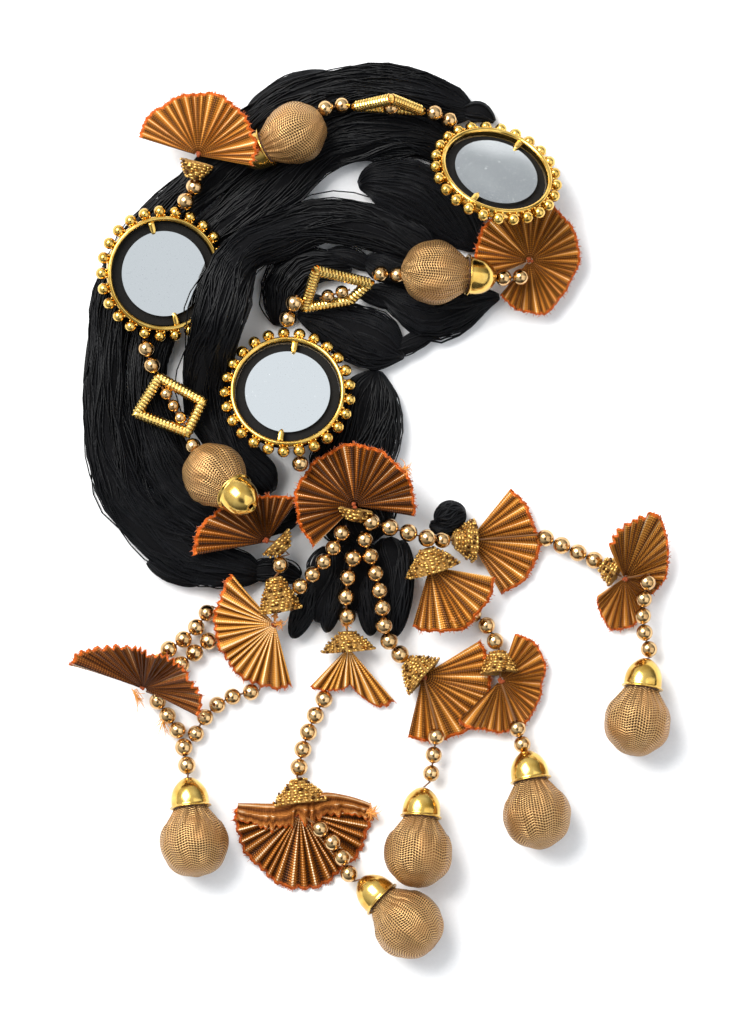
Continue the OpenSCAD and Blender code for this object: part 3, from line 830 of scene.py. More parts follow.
@dataclass(frozen=True)
class Finishes:
    """All materials of the part, made once."""

    thread: Material
    core: Material
    gilt: Material
    bead: Material
    wound: Material
    mirror: Material
    card: Material
    tissue: Material
    pleats: dict[Shade, Material]
    seed: Material
    felt: Material
    string: Material
    orange: Material
    brown: Material
    fray: Material
    knot: Material

    @staticmethod
    def mixed() -> "Finishes":
        """Mix every finish of the part.

        Returns:
            The finishes.
        """
        black = ((0.0006, 0.0006, 0.0008), (0.003, 0.0032, 0.0044))
        return Finishes(
            thread=TwistedThread(
                "black thread", *black, ply_share=0.12, rough=0.46, sheen=0.02, shine=0.2).paint(),
            core=FibreFinish("thread core", (0.001, 0.001, 0.0012), (0.004, 0.004, 0.005), 0.12).paint(),
            gilt=GiltFinish("polished gilt", (0.56, 0.32, 0.055), (0.86, 0.58, 0.16)).paint(),
            bead=GiltFinish(
                "champagne gilt beads", (0.46, 0.26, 0.1), (0.78, 0.53, 0.26), 0.13, 500.0, 0.05).paint(),
            wound=GiltFinish(
                "wound gilt wire", (0.72, 0.4, 0.08), (1.0, 0.75, 0.25), 0.2, 900.0, 0.1).paint(),
            mirror=MirrorFinish().paint(),
            card=FibreFinish("black backing", (0.002, 0.002, 0.002), (0.008, 0.007, 0.006), 0.25).paint(),
            tissue=TissueFinish(
                "gold tissue", (0.36, 0.165, 0.05), (0.76, 0.47, 0.19), (0.035, 0.012, 0.003)).paint(),
            pleats={
                kind: PleatFinish(f"pleated ribbon {kind.name.lower()}", kind).paint() for kind in Shade},
            seed=SeedFinish().paint(),
            felt=FibreFinish("gold felt", (0.16, 0.07, 0.012), (0.5, 0.28, 0.06)).paint(),
            string=TwistedThread("stringing thread", (0.12, 0.045, 0.01), (0.4, 0.17, 0.04), 0.8).paint(),
            orange=TwistedThread("orange thread", (0.7, 0.2, 0.015), (1.0, 0.46, 0.06), 0.8).paint(),
            brown=TwistedThread("brown thread", (0.08, 0.03, 0.01), (0.22, 0.1, 0.035), 0.9).paint(),
            fray=TwistedThread("frayed edge", (0.4, 0.06, 0.008), (0.8, 0.2, 0.03), 0.7).paint(),
            knot=FibreFinish("knot of the gathers", (0.16, 0.025, 0.005), (0.42, 0.08, 0.012)).paint())


# Thread hanks

THREAD_R = 0.25 * MM
THREAD_SIDES = 3
CORE_SIDES = 12


def thread_pieces(node: str, threads: list[Skin], cores: list[Skin], finishes: Finishes,
                  in_frame: bool = True) -> list[Piece]:
    """Make the threads, and the dark core that closes the gaps between them.

    Args:
        node: name of the hank.
        threads: surfaces of the threads.
        cores: surfaces of the core.
        finishes: the part's materials.
        in_frame: whether the threads take the place of a node of that name.

    Returns:
        The new pieces.
    """
    laid = Skin.joined(threads).make(node + "_threads", finishes.thread, "black_thread")
    if in_frame:
        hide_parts(node)
    return [laid, Skin.joined(cores).make(node + "_core", finishes.core, "black_thread")]


@dataclass
class ThreadHank:
    """Bundles of loose thread that follow the frame's hanks.

    Rows of a bundle are [column, row, height of the underside in mm, half width in squares, half thickness
    in mm]. Threads keep together in locks, which wander over the bundle's oval cross-section, and each
    thread winds slowly round its own lock. In half widths across and half heights up a thread is at
    reach cos(turn) + off cos(spin) and reach sin(turn) + off sin(spin). Wave lengths are in metres.
    """

    node: str
    bundles: list[Rows]
    locks: int = 28
    threads_in_lock: int = 9
    seed: int = 1
    in_frame: bool = True
    station: float = 5.3 * MM
    least_stations: int = 6
    coarse_stations: int = 400
    tip_stations: int = 8
    tip_long: float = 1.4
    tip_share: float = 0.3
    spread: float = 1.02
    core_share: float = 0.84
    end_round: float = 5.5 * MM
    end_flat: float = 0.9
    outer_reach: tuple[float, float] = (0.78, 0.88)
    inner_reach: tuple[float, float] = (0.55, 0.75)
    outer_for_inner: int = 5
    reach_limits: tuple[float, float] = (0.05, 0.92)
    reach_drift: float = 0.07
    reach_waves: tuple[float, ...] = (0.06, 0.033)
    twist_rate: float = 6.0
    twist_drift: float = 0.28
    twist_waves: tuple[float, ...] = (0.09, 0.047)
    spin_rate: float = 45.0
    spin_drift: float = 0.8
    spin_waves: tuple[float, ...] = (0.05,)
    lock_size: float = 0.19
    lock_drift: float = 0.3
    lock_waves: tuple[float, ...] = (0.04,)
    stray_share: float = 0.03
    stray_out: float = 0.4
    stray_waves: tuple[float, ...] = (0.055,)
    kink: float = 0.16 * MM
    kink_waves: tuple[float, ...] = (0.017, 0.026)

    def shape(self, rows: Rows) -> tuple[np.ndarray, np.ndarray, np.ndarray, np.ndarray]:
        """Work out a bundle's stations, closer together and rounded off towards its ends.

        Args:
            rows: the bundle's table.

        Returns:
            Distance along the bundle, its middle line, its half width and its half height.
        """
        coarse = smooth_rows(rows, self.coarse_stations)
        run = run_of(plan(coarse[:, :3]))
        length = run[-1]
        tips = np.arange(self.tip_stations) / self.tip_stations
        tips = tips * min(self.end_round * self.tip_long, length * self.tip_share)
        stations = max(int(length / self.station), self.least_stations)
        inside = np.linspace(tips[-1], length - tips[-1], stations)
        along = np.concatenate([tips[:-1], inside, (length - tips[:-1])[::-1]])
        line = np.stack([np.interp(along, run, column) for column in coarse.T], -1)
        line[:, 2] = np.maximum(line[:, 2], 0) + line[:, 4]
        near_end = np.clip(np.minimum(along, length - along) / self.end_round, 0, 1)
        close = np.sqrt(1 - self.end_flat * (1 - near_end) ** 2)
        return along, plan(line), line[:, 3] * SQUARE * self.spread * close, line[:, 4] * MM * close

    def threads_of(self, along: np.ndarray, middle: np.ndarray, half_w: np.ndarray, half_h: np.ndarray,
                   rng: np.random.Generator) -> tuple[np.ndarray, np.ndarray]:
        """Lay the threads of one bundle.

        Args:
            along: distance along the bundle.
            middle: its middle line.
            half_w: its half width.
            half_h: its half height.
            rng: seeded source of the locks' ways.

        Returns:
            Thread paths (threads, stations, 3) and a tone for each.
        """
        outer, inner = self.locks, self.locks // self.outer_for_inner
        locks = (outer + inner,)
        group = (outer + inner, self.threads_in_lock)
        turn = TURN * np.concatenate([np.arange(outer) / outer, rng.uniform(0, 1, inner)])
        reaches = ((self.outer_reach, outer), (self.inner_reach, inner))
        reach = np.concatenate([rng.uniform(*limits, number) for limits, number in reaches])
        turn = turn[:, None] + waver(rng, locks, along, self.twist_waves) * self.twist_drift
        turn = (turn + along * rng.choice([-1, 1]) * self.twist_rate)[:, None]
        reach = reach[:, None] + waver(rng, locks, along, self.reach_waves) * self.reach_drift
        reach = np.clip(reach, *self.reach_limits)[:, None]
        spin = rng.uniform(0, TURN, group)[..., None] + along * self.spin_rate
        spin = spin + waver(rng, group, along, self.spin_waves) * self.spin_drift
        off = np.sqrt(rng.uniform(0.05, 1, group))[..., None] * self.lock_size
        off = off * (1 + self.lock_drift * waver(rng, group, along, self.lock_waves))
        stray = rng.uniform(0, 1, group)[..., None] > 1 - self.stray_share
        swing = 1 + stray * np.maximum(waver(rng, group, along, self.stray_waves), 0) * self.stray_out
        x, y = ((reach * f(turn) + off * f(spin)) * swing for f in (np.cos, np.sin))
        x, y = x.reshape(-1, len(along)), y.reshape(-1, len(along))
        kink = waver(rng, (len(x), 2), along, self.kink_waves) * self.kink
        across = np.cross(UP, unit(np.gradient(middle, axis=0) * [1, 1, 0]))
        paths = middle + across * (x * half_w + kink[:, 0])[..., None]
        paths = paths + UP * (y * half_h + kink[:, 1])[..., None]
        return above(paths, THREAD_R), rng.uniform(0, 1, len(x))

    def build(self, finishes: Finishes) -> list[Piece]:
        """Lay the threads of all bundles round their cores.

        Args:
            finishes: the part's materials.

        Returns:
            The new pieces.
        """
        rng = np.random.default_rng(self.seed)
        threads, cores = [], []
        for rows in self.bundles:
            along, middle, half_w, half_h = self.shape(rows)
            paths, tone = self.threads_of(along, middle, half_w, half_h, rng)
            threads.append(tubes(paths, THREAD_R, THREAD_SIDES, tone=tone))
            wide, high = half_w[None] * self.core_share, half_h[None] * self.core_share
            cores.append(tubes(middle[None], wide, CORE_SIDES, high=high))
        return thread_pieces(self.node, threads, cores, finishes, self.in_frame)


@dataclass
class ThreadKnobs:
    """Looped ends of the hanks: threads that run from tip to tip over lumps.

    Rows are [column, row, height, half width, half height, half length, turn in degrees], sizes in mm. A
    thread is at middle + heading sin(w) + (across cos(a) + up sin(a)) cos(w), with w from tip to tip.
    """

    node: str
    rows: Rows
    turns: int = 36
    stations: int = 22
    seed: int = 5
    inset: tuple[float, float] = (0.4, 0.3)
    core_inset: float = 0.8
    core_tip: float = 0.98
    core_stations: int = 14
    stray: float = 0.25
    stray_run: float = 20 * MM
    stray_waves: tuple[float, ...] = (0.02, 0.012)
    arc_shares: tuple[float, float] = (0.86, 1.0)
    out_shares: tuple[float, float] = (0.9, 1.02)

    def build(self, finishes: Finishes) -> list[Piece]:
        """Make the loops over each lump, with a core inside.

        Args:
            finishes: the part's materials.

        Returns:
            The new pieces.
        """
        rng = np.random.default_rng(self.seed)
        threads, cores = [], []
        count = self.turns * 2
        along = np.linspace(0, self.stray_run, self.stations)
        arc = np.linspace(-np.pi / 2, np.pi / 2, self.stations)
        s = np.linspace(-self.core_tip, self.core_tip, self.core_stations)
        bulge = np.sqrt(1 - s ** 2)[None] * MM
        for column, row, height, wide, high, long, degrees in self.rows:
            heading = circle(np.array([1.0, 0, 0]), np.array([0, 1.0, 0]), np.radians(degrees))
            across = np.cross(UP, heading)
            middle = plan(np.array([column, row, height]))
            w = arc * rng.uniform(*self.arc_shares, (count, 1))
            a = angles(count)[:, None] + waver(rng, (count,), along, self.stray_waves) * self.stray
            out = np.cos(w) * rng.uniform(*self.out_shares, (count, 1)) * MM
            paths = middle + heading * (np.sin(w) * (long - self.inset[0]) * MM)[..., None]
            paths = paths + across * (out * np.cos(a) * (wide - self.inset[1]))[..., None]
            paths = above(paths + UP * (out * np.sin(a) * (high - self.inset[1]))[..., None], THREAD_R)
            threads.append(tubes(paths, THREAD_R, THREAD_SIDES, tone=rng.uniform(0, 1, len(paths))))
            line = middle + heading * (s * (long - self.core_inset) * MM)[:, None]
            wide, high = bulge * (wide - self.core_inset), bulge * (high - self.core_inset)
            cores.append(tubes(line[None], wide, CORE_SIDES, high=high))
        return thread_pieces(self.node, threads, cores, finishes)


# Fans

RIBBON_THICK = 0.28 * MM
FLAT_LEAST = 10.1 * MM


def thicken(piece: Piece) -> None:
    """Give a surface of ribbon its thickness.

    Args:
        piece: the piece made from the surface.
    """
    wall = piece.modifiers.new("cloth thickness", "SOLIDIFY")
    wall.thickness = RIBBON_THICK
    wall.offset = 0.0


def lay_sheet(skin: Skin, flat: tuple[float, float]) -> None:
    """Work out a pleated surface's area and the sides of the flat ribbon it was gathered from; neither is
    used.

    Args:
        skin: the surface.
        flat: sides of the flat ribbon, in metres.
    """
    a, b, c, d = skin.points[skin.faces[0]].transpose(1, 0, 2)
    area = 0.5 * np.linalg.norm(np.cross(c - a, d - b), axis=1).sum()
    flat = (max(float(flat[0]), FLAT_LEAST), max(float(flat[1]), FLAT_LEAST))


@dataclass
class PleatedFan:
    """A ribbon gathered along one edge and pleated into a fan.

    Spokes are [direction in degrees, rise in degrees, length in mm] in turn round the pivot. Between them
    the ribbon's surface is pivot + spoke(s) * t, and a wave across s that grows with t lifts it off to each
    side. Wave lengths are in pleats, and shares are of a spoke's length.
    """

    node: str
    pivot: tuple[float, float, float]
    spokes: Rows
    seed: int = 1
    shade: Shade = Shade.GOLD
    rests_on: str = "tassel_cones"
    knot_r: float = 0.55 * MM
    knot_balls: int = 9
    pleat_turn: float = 9.6
    pleat_high: float = 1.1 * MM
    pleat_drift: float = 0.22
    pleat_waves: tuple[float, ...] = (6.0, 3.3)
    pleat_crisp: float = 0.985
    pleat_growth: float = 0.8
    gather_share: float = 0.12
    least_pleats: int = 4
    high_drift: float = 0.25
    high_waves: tuple[float, ...] = (4.5,)
    edge_drift: float = 0.022
    edge_waves: tuple[float, ...] = (8.3, 3.7)
    edge_ragged: float = 0.012
    edge_curl: float = 0.35 * MM
    curl_growth: float = 6.0
    lowest: float = 0.3 * MM
    gather_r: float = 1.0 * MM
    fringe_long: tuple[float, float] = (0.3, 1.1)
    fringe_wide: tuple[float, ...] = (0.13, 0.11, 0.05)
    fringe_lean: tuple[float, float] = (0.9, 0.5)
    fringe_bend: float = 0.4
    steps: int = 8
    rings: int = 11

    def spread(self) -> tuple[np.ndarray, int]:
        """Place the spokes of the finished surface at even turns between the given ones.

        Returns:
            Spokes (columns, 3) as [direction, rise, length], and the number of pleats.
        """
        keys = np.array(self.spokes, float)
        at = run_of(keys[:, :2])
        pleats = max(int(round(at[-1] / self.pleat_turn)), self.least_pleats)
        t = np.linspace(0, at[-1], pleats * self.steps + 1)
        return np.stack([np.interp(t, at, column) for column in keys.T], -1), pleats

    def build(self, finishes: Finishes) -> list[Piece]:
        """Make the pleated ribbon, the knot of its gathers and the frayed threads along its edge.

        Args:
            finishes: the part's materials.

        Returns:
            The new pieces.
        """
        rng = np.random.default_rng(self.seed)
        spokes, pleats = self.spread()
        turn, rise = np.radians(spokes[:, :2]).T
        reach = spokes[:, 2] * MM
        way = np.stack([np.cos(rise) * np.cos(turn), np.cos(rise) * np.sin(turn), np.sin(rise)], -1)
        lift = unit(np.cross(way, unit(np.gradient(way, axis=0))))
        x = np.linspace(0, pleats, len(spokes))
        t = np.linspace(0, 1, self.rings)[:, None]
        uneven = x + waver(rng, (), x, self.pleat_waves) * self.pleat_drift
        wave = np.arcsin(self.pleat_crisp * np.sin(TURN * uneven)) / (np.pi / 2)
        high = self.pleat_high * (1 + self.high_drift * waver(rng, (), x, self.high_waves))
        edge = self.edge_drift * waver(rng, (), x, self.edge_waves) + self.edge_ragged * wave
        far = reach * (1 + edge + rng.uniform(-self.edge_ragged, self.edge_ragged, len(x)))
        out = self.gather_r + (far - self.gather_r) * t
        off = high * wave * np.clip(t ** self.pleat_growth, self.gather_share, 1)
        off = off - self.edge_curl * t ** self.curl_growth * (1 + wave)
        spot = plan(np.array(self.pivot))
        points = above(spot + way * out[..., None] + lift * off[..., None], self.lowest)
        faces, spots = lattice(self.rings, len(x))
        across = run_of(points[-1])
        uv = np.stack([across[spots[..., 1]] / MM, spots[..., 0] / (self.rings - 1)], -1)
        # The tone keeps the fold, from which the ribbon's material paints shade in the valleys and highlight
        # on the ridges.
        tone = np.broadcast_to((wave + 1) / 2, out.shape).ravel()
        skin = Skin(points.reshape(-1, 3), [faces], [uv], tone)
        piece = skin.make(self.node + "_cloth", finishes.pleats[self.shade], "pleated_ribbon")
        thicken(piece)
        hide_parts(self.node)
        lay_sheet(skin, (reach.mean(), across[-1]))
        return [piece, self.knot(spot, unit(way.mean(0)), finishes, rng),
                self.fringe(points[-1], way, lift, finishes, rng)]

    def knot(self, spot: np.ndarray, heading: np.ndarray, finishes: Finishes,
             rng: np.random.Generator) -> Piece:
        """Tie the gathers with a lump of small balls.

        Args:
            spot: the pivot.
            heading: middle direction of the fan.
            finishes: the part's materials.
            rng: seeded source of the balls' places.

        Returns:
            The knot.
        """
        shifts = rng.normal(0, 0.6, (self.knot_balls, 3)) * [1, 1, 0.5]
        places = above(spot + (heading * 0.8 + shifts) * self.knot_r, self.knot_r)
        skin = pearls(places, self.knot_r, heading, 8)
        return skin.make(self.node + "_knot", finishes.knot, "pleated_ribbon")

    def fringe(self, edge: np.ndarray, way: np.ndarray, lift: np.ndarray, finishes: Finishes,
               rng: np.random.Generator) -> Piece:
        """Add short loose ends of thread along the outer edge.

        Args:
            edge: points of the outer edge.
            way: direction of the spoke at each.
            lift: direction off the cloth at each.
            finishes: the part's materials.
            rng: seeded source of lengths and leans.

        Returns:
            The fringe.
        """
        count = len(edge) // 2
        pick = rng.integers(0, len(edge), count)
        along, off = unit(np.gradient(edge, axis=0))[pick], lift[pick]
        lean = way[pick] + along * rng.normal(0, self.fringe_lean[0], (count, 1))
        lean = unit(lean + off * rng.normal(0, self.fringe_lean[1], (count, 1)))
        length = rng.uniform(*self.fringe_long, (count, 1, 1)) * MM
        s = np.array([-0.3, 0.4, 1.0])[None, :, None]
        bend = off[:, None] * (s ** 2) * rng.normal(0, self.fringe_bend, (count, 1, 1)) * MM
        paths = above(edge[pick][:, None] + lean[:, None] * length * s + bend, self.lowest / 2)
        wide = np.array(self.fringe_wide) * MM
        skin = tubes(paths, wide, THREAD_SIDES, up=off[:, None], tone=rng.uniform(0, 1, count))
        return skin.make(self.node + "_fringe", finishes.fray, "pleated_ribbon")


@dataclass
class FoldedFlap:
    """The part of a fan's ribbon that is folded over its own gathers, with a wavy orange edge.

    Rows are [column, row, height of the fold, column, row, height of the free edge], from end to end.
    Between them the surface is fold + (edge - fold) * t, with ribs along it and ruffles that grow with t and
    are strongest in the middle. Wave lengths are shares of the flap's length.
    """

    node: str
    rows: Rows
    seed: int = 61
    rests_on: str = "tassel_cones"
    columns: int = 220
    rings: int = 17
    middle_at: float = 0.48
    middle_wide: float = 0.24
    end_share: float = 0.25
    ruffles: int = 9
    ruffle_drift: float = 0.4
    ruffle_waves: tuple[float, ...] = (0.31, 0.17)
    ruffle_high: float = 1.04 * MM
    ruffle_out: float = 0.24
    ragged: float = 0.08
    ragged_waves: tuple[float, ...] = (0.09, 0.041)
    ribs: float = 2.6
    rib_drift: float = 0.05
    rib_waves: tuple[float, ...] = (0.5, 0.3)
    rib_high: float = 0.35 * MM
    fold_light_and_shade: tuple[float, float, float] = (0.58, 0.36, 0.16)
    flat_share: float = 1.7
    uv_from: float = 0.35

    def build(self, finishes: Finishes) -> list[Piece]:
        """Make the flap over the fan, with its thickness.

        Args:
            finishes: the part's materials.

        Returns:
            The new pieces.
        """
        rng = np.random.default_rng(self.seed)
        rows = smooth_rows(self.rows, self.columns)
        fold, edge = plan(rows[:, :3]), plan(rows[:, 3:6])
        x = np.linspace(0, 1, self.columns)
        t = np.linspace(0, 1, self.rings)[:, None]
        bell = np.exp(-((x - self.middle_at) / self.middle_wide) ** 2)
        middle = self.end_share + (1 - self.end_share) * bell
        uneven = x * self.ruffles + self.ruffle_drift * waver(rng, (), x, self.ruffle_waves)
        wave = np.sin(TURN * uneven) * middle
        ragged = self.ruffle_out * wave + self.ragged * waver(rng, (), x, self.ragged_waves)
        ribs = np.sin(TURN * (self.ribs * t + self.rib_drift * waver(rng, (), x, self.rib_waves)))
        lift = wave * self.ruffle_high * t + ribs * self.rib_high * (1 - 0.6 * t * middle)
        points = fold + (edge - fold) * (t + t ** 3 * ragged)[..., None] + UP * lift[..., None]
        faces, spots = lattice(self.rings, self.columns)
        length = run_of(points[-1])[-1]
        width = np.linalg.norm(edge - fold, axis=1).mean()
        u = spots[..., 1] / self.columns * length / MM
        v = self.uv_from + (1 - self.uv_from) * spots[..., 0] / (self.rings - 1)
        # The tone follows the ribs and ruffles, so the ribbon's material paints shade in their hollows and
        # highlight on their crests.
        plain, on_rib, on_ruffle = self.fold_light_and_shade
        tone = plain + on_rib * ribs * (1 - 0.75 * t * middle) + on_ruffle * wave * t
        skin = Skin(points.reshape(-1, 3), [faces[:, ::-1]], [np.stack([u, v], -1)[:, ::-1]], tone.ravel())
        piece = skin.make(self.node, finishes.pleats[Shade.RUST], "pleated_ribbon")
        thicken(piece)
        lay_sheet(skin, (length, width * self.flat_share))
        return [piece]


@dataclass
class LooseTufts:
    """Wisps of thread that fan out and curl from one place.

    Rows are [column, row, height, direction in degrees, length in mm, threads, looseness].
    """

    node: str
    rows: Rows
    seed: int = 71
    thread_r: float = 0.2 * MM
    lean: float = 26.0
    curl: float = 0.9
    root: float = 0.35 * MM

    def build(self, finishes: Finishes) -> list[Piece]:
        """Make the wisps.

        Args:
            finishes: the part's materials.

        Returns:
            The new pieces.
        """
        rng = np.random.default_rng(self.seed)
        skins = []
        t = np.linspace(0, 1, 7)
        for column, row, height, degrees, long, count, loose in self.rows:
            n = int(count)
            turn = np.radians(degrees + loose * rng.normal(0, self.lean, n))[:, None]
            turn = turn + loose * rng.normal(0, self.curl, n)[:, None] * t
            reach = rng.uniform(0.45, 1.0, n)[:, None] * long * MM * t
            start = plan(np.array([column, row, height])) + rng.normal(0, self.root, (n, 3))
            rise = loose * rng.normal(0.15, 0.3, n)[:, None] * t * long * MM
            paths = start[:, None] + np.stack([np.cos(turn) * reach, np.sin(turn) * reach, rise], -1)
            wide = self.thread_r * (1 - 0.6 * t)
            skins.append(tubes(above(paths, self.thread_r), wide, THREAD_SIDES, tone=rng.uniform(0, 1, n)))
        return [Skin.joined(skins).make(self.node, finishes.orange, "pleated_ribbon")]


# Balls, cones, rings and wound frames

@dataclass
class GatheredBall:
    """A stuffed ball of tissue, gathered to a neck that goes up inside the cap.

    Rows are [column, row, height, radius in mm, column, row, height that the cap points to]. The surface is
    centre + axis * h(s) + ring(q) * r(s), where r(s) follows the ball up to the shoulder and then the neck,
    and gathers that fade towards the far pole press folds into it.
    """

    node: str
    row: tuple[float, ...]
    seed: int = 1
    neck: tuple[tuple[float, float], ...] = (
        (-3.6, 7.55), (-2.7, 6.95), (-1.8, 6.3), (-0.9, 5.65),
        (0.0, 5.05), (0.7, 4.65), (2.0, 4.3), (3.6, 4.1))
    shoulder_from: float = 0.56
    columns: int = 114
    rings: int = 46
    lowest: float = 0.25 * MM
    folds: int = 19
    fold_deep: float = 0.042
    neck_fold_deep: float = 0.03
    fold_lean: tuple[float, float] = (0.1, 0.16)
    fold_reach: tuple[float, float, float] = (0.35, 1.25, 1.6)
    corners: float = 3.5
    corner_deep: float = 0.035
    dent_waves: tuple[int, ...] = (3, 4, 5, 7, 9)
    dent_deep: float = 0.026
    pole_dent: float = 0.012
    flat_deep: float = 0.03
    fill: float = 0.9
    binding_turns: int = 3
    binding_pitch: float = 0.3 * MM
    binding_r: float = 0.18 * MM

    def build(self, finishes: Finishes) -> list[Piece]:
        """Make the cover and the brown thread wound round its neck.

        Args:
            finishes: the part's materials.

        Returns:
            The new pieces.
        """
        rng = np.random.default_rng(self.seed)
        centre = plan(np.array(self.row[:3]))
        radius = self.row[3] * MM
        axis = unit(plan(np.array(self.row[4:7])) - centre)
        side, other = square_to(axis, UP)
        q = angles(self.columns)[None]
        polar = np.linspace(np.pi, np.arccos(self.shoulder_from), self.rings - len(self.neck))
        sways = np.abs(np.cos(self.corners * polar + rng.uniform(0, TURN))) - MEAN_COS
        round_r = radius * (1 + self.corner_deep * sways * np.sin(polar - polar[-1]))
        neck = np.array(self.neck) * MM
        height = np.concatenate([round_r * np.cos(polar), radius + neck[:, 0]])[:, None]
        plain = np.concatenate([round_r * np.sin(polar), neck[:, 1]])[:, None]
        up = height / radius
        start, wide, power = self.fold_reach
        near_neck = np.clip((up + start) / wide, 0, 1)
        way = q + self.fold_lean[0] * np.sin(3 * q + rng.uniform(0, TURN))
        way = way + self.fold_lean[1] * np.sin(up * 2 + rng.uniform(0, TURN))
        fold = np.sin(self.folds * way) + 0.5 * np.sin((self.folds * 2 - 5) * way + 1.3)
        dents = sum(np.sin(k * q + rng.uniform(0, TURN) + rng.uniform(2, 5) * up) for k in self.dent_waves)
        dents = dents / len(self.dent_waves)
        flats = self.flat_deep * (np.abs(np.cos(5 * way + 0.4 * np.sin(2 * way))) - MEAN_COS)
        swell = 1 + self.fold_deep * fold * near_neck ** power + self.dent_deep * dents
        swell = swell + flats * (1 - 0.5 * near_neck)
        r = plain * np.where(up > 1, 1 + self.neck_fold_deep * fold, swell)
        h = height * np.where(up > 0, 1, 1 + self.pole_dent * dents)
        points = above(centre + axis * h[..., None] + circle(side, other, q) * r[..., None], self.lowest)
        faces, spots = lattice(self.rings, self.columns, close_columns=True)
        run = run_of(np.concatenate([height, plain], 1)) / MM
        uv = np.stack([run[spots[..., 0]], spots[..., 1] * self.row[3] * TURN / self.columns], -1)
        low = np.arange(self.columns)[None, ::-1]
        top = low[:, ::-1] + (self.rings - 1) * self.columns
        flat = np.zeros((1, self.columns, 2))
        tone = (0.5 + 0.5 * np.tanh(fold)).ravel()
        skin = Skin(points.reshape(-1, 3), [faces, top, low], [uv, flat, flat], tone)
        piece = skin.make(self.node + "_cover", finishes.tissue, "gold_tissue")
        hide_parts(self.node)
        return [piece, self.binding(centre + axis * (radius + 0.1 * MM), axis, finishes)]

    def binding(self, at: np.ndarray, axis: np.ndarray, finishes: Finishes) -> Piece:
        """Wind thread round the neck, as a spiral that stays under the cap's rim.

        Args:
            at: where the winding starts.
            axis: direction of the neck.
            finishes: the part's materials.

        Returns:
            The winding.
        """
        q = np.linspace(0, self.binding_turns * TURN, self.binding_turns * 24 + 1)
        out = circle(*square_to(axis, UP), q)
        path = at + axis * (q / TURN * self.binding_pitch)[:, None] + out * (self.neck[5][1] + 0.1) * MM
        skin = tubes(path[None], self.binding_r, 6, up=out[None])
        return skin.make(self.node + "_binding", finishes.brown, "gold_tissue")


@dataclass
class SeededCone:
    """Small beads sewn in rings over each felt cone.

    Rows are [column, row, height of the tip, the same of the mouth, half width and half height of the mouth
    in mm]. A bead sits at tip + (mouth - tip) * s + ring(q) * r(s), and every other ring is turned by half a
    bead.
    """

    node: str
    rows: Rows
    seed: int = 3
    bead_r: float = 0.47 * MM
    bead_long: float = 1.7
    ring_gap: float = 1.75
    bead_gap: float = 3.0
    sink: float = 0.55
    tip_r: float = 1.7
    middle_share: float = 0.56
    uneven: float = 0.13 * MM
    tones: tuple[tuple[float, float], ...] = ((0.0, 0.12), (0.35, 0.18), (0.7, 0.35), (1.0, 0.35))

    def rings_of(self, row: list[float], rng: np.random.Generator) -> tuple[np.ndarray, np.ndarray]:
        """Place the beads of one cone.

        Args:
            row: the cone's row.
            rng: seeded source of small shifts.

        Returns:
            Centres of the beads and the directions of their holes.
        """
        tip, mouth = plan(np.array(row[:3])), plan(np.array(row[3:6]))
        axis = unit(mouth - tip)
        side, other = square_to(axis, -UP)
        length = np.linalg.norm(mouth - tip)
        rings = max(int(length / (self.bead_r * self.ring_gap)), 3)
        s = (np.arange(rings) + 0.5) / rings
        wide, high = (
            np.interp(s, [0, 0.5, 1], [self.tip_r, (self.tip_r + end) * self.middle_share, end]) * MM
            + self.bead_r * self.sink for end in row[6:8])
        places = []
        for i in range(rings):
            count = int(np.pi * (wide[i] + high[i]) / (self.bead_r * self.bead_gap))
            q = TURN * (np.arange(count) + 0.5 * (i % 2)) / count + rng.normal(0, 0.02, count)
            places.append(tip + axis * length * s[i] + circle(side * wide[i], other * high[i], q))
        places = np.concatenate(places)
        return places + rng.normal(0, self.uneven, places.shape), np.cross(axis, places - tip)

    def build(self, finishes: Finishes) -> list[Piece]:
        """Make the beads and put felt on the cones.

        Args:
            finishes: the part's materials.

        Returns:
            The new pieces.
        """
        rng = np.random.default_rng(self.seed)
        tones, shares = zip(*self.tones)
        skins = []
        for row in self.rows:
            spots, holes = self.rings_of(row, rng)
            keep = spots[:, 2] > self.bead_r
            size = self.bead_r * rng.uniform(0.86, 1.1, len(spots))
            tone = rng.choice(tones, len(spots), p=shares)
            skins.append(seeds(spots[keep], size[keep], holes[keep], self.bead_long, tone[keep]))
        piece = Skin.joined(skins).make(self.node + "_seeds", finishes.seed, "seeded_felt")
        dress(self.node, finishes.felt)
        return [piece]


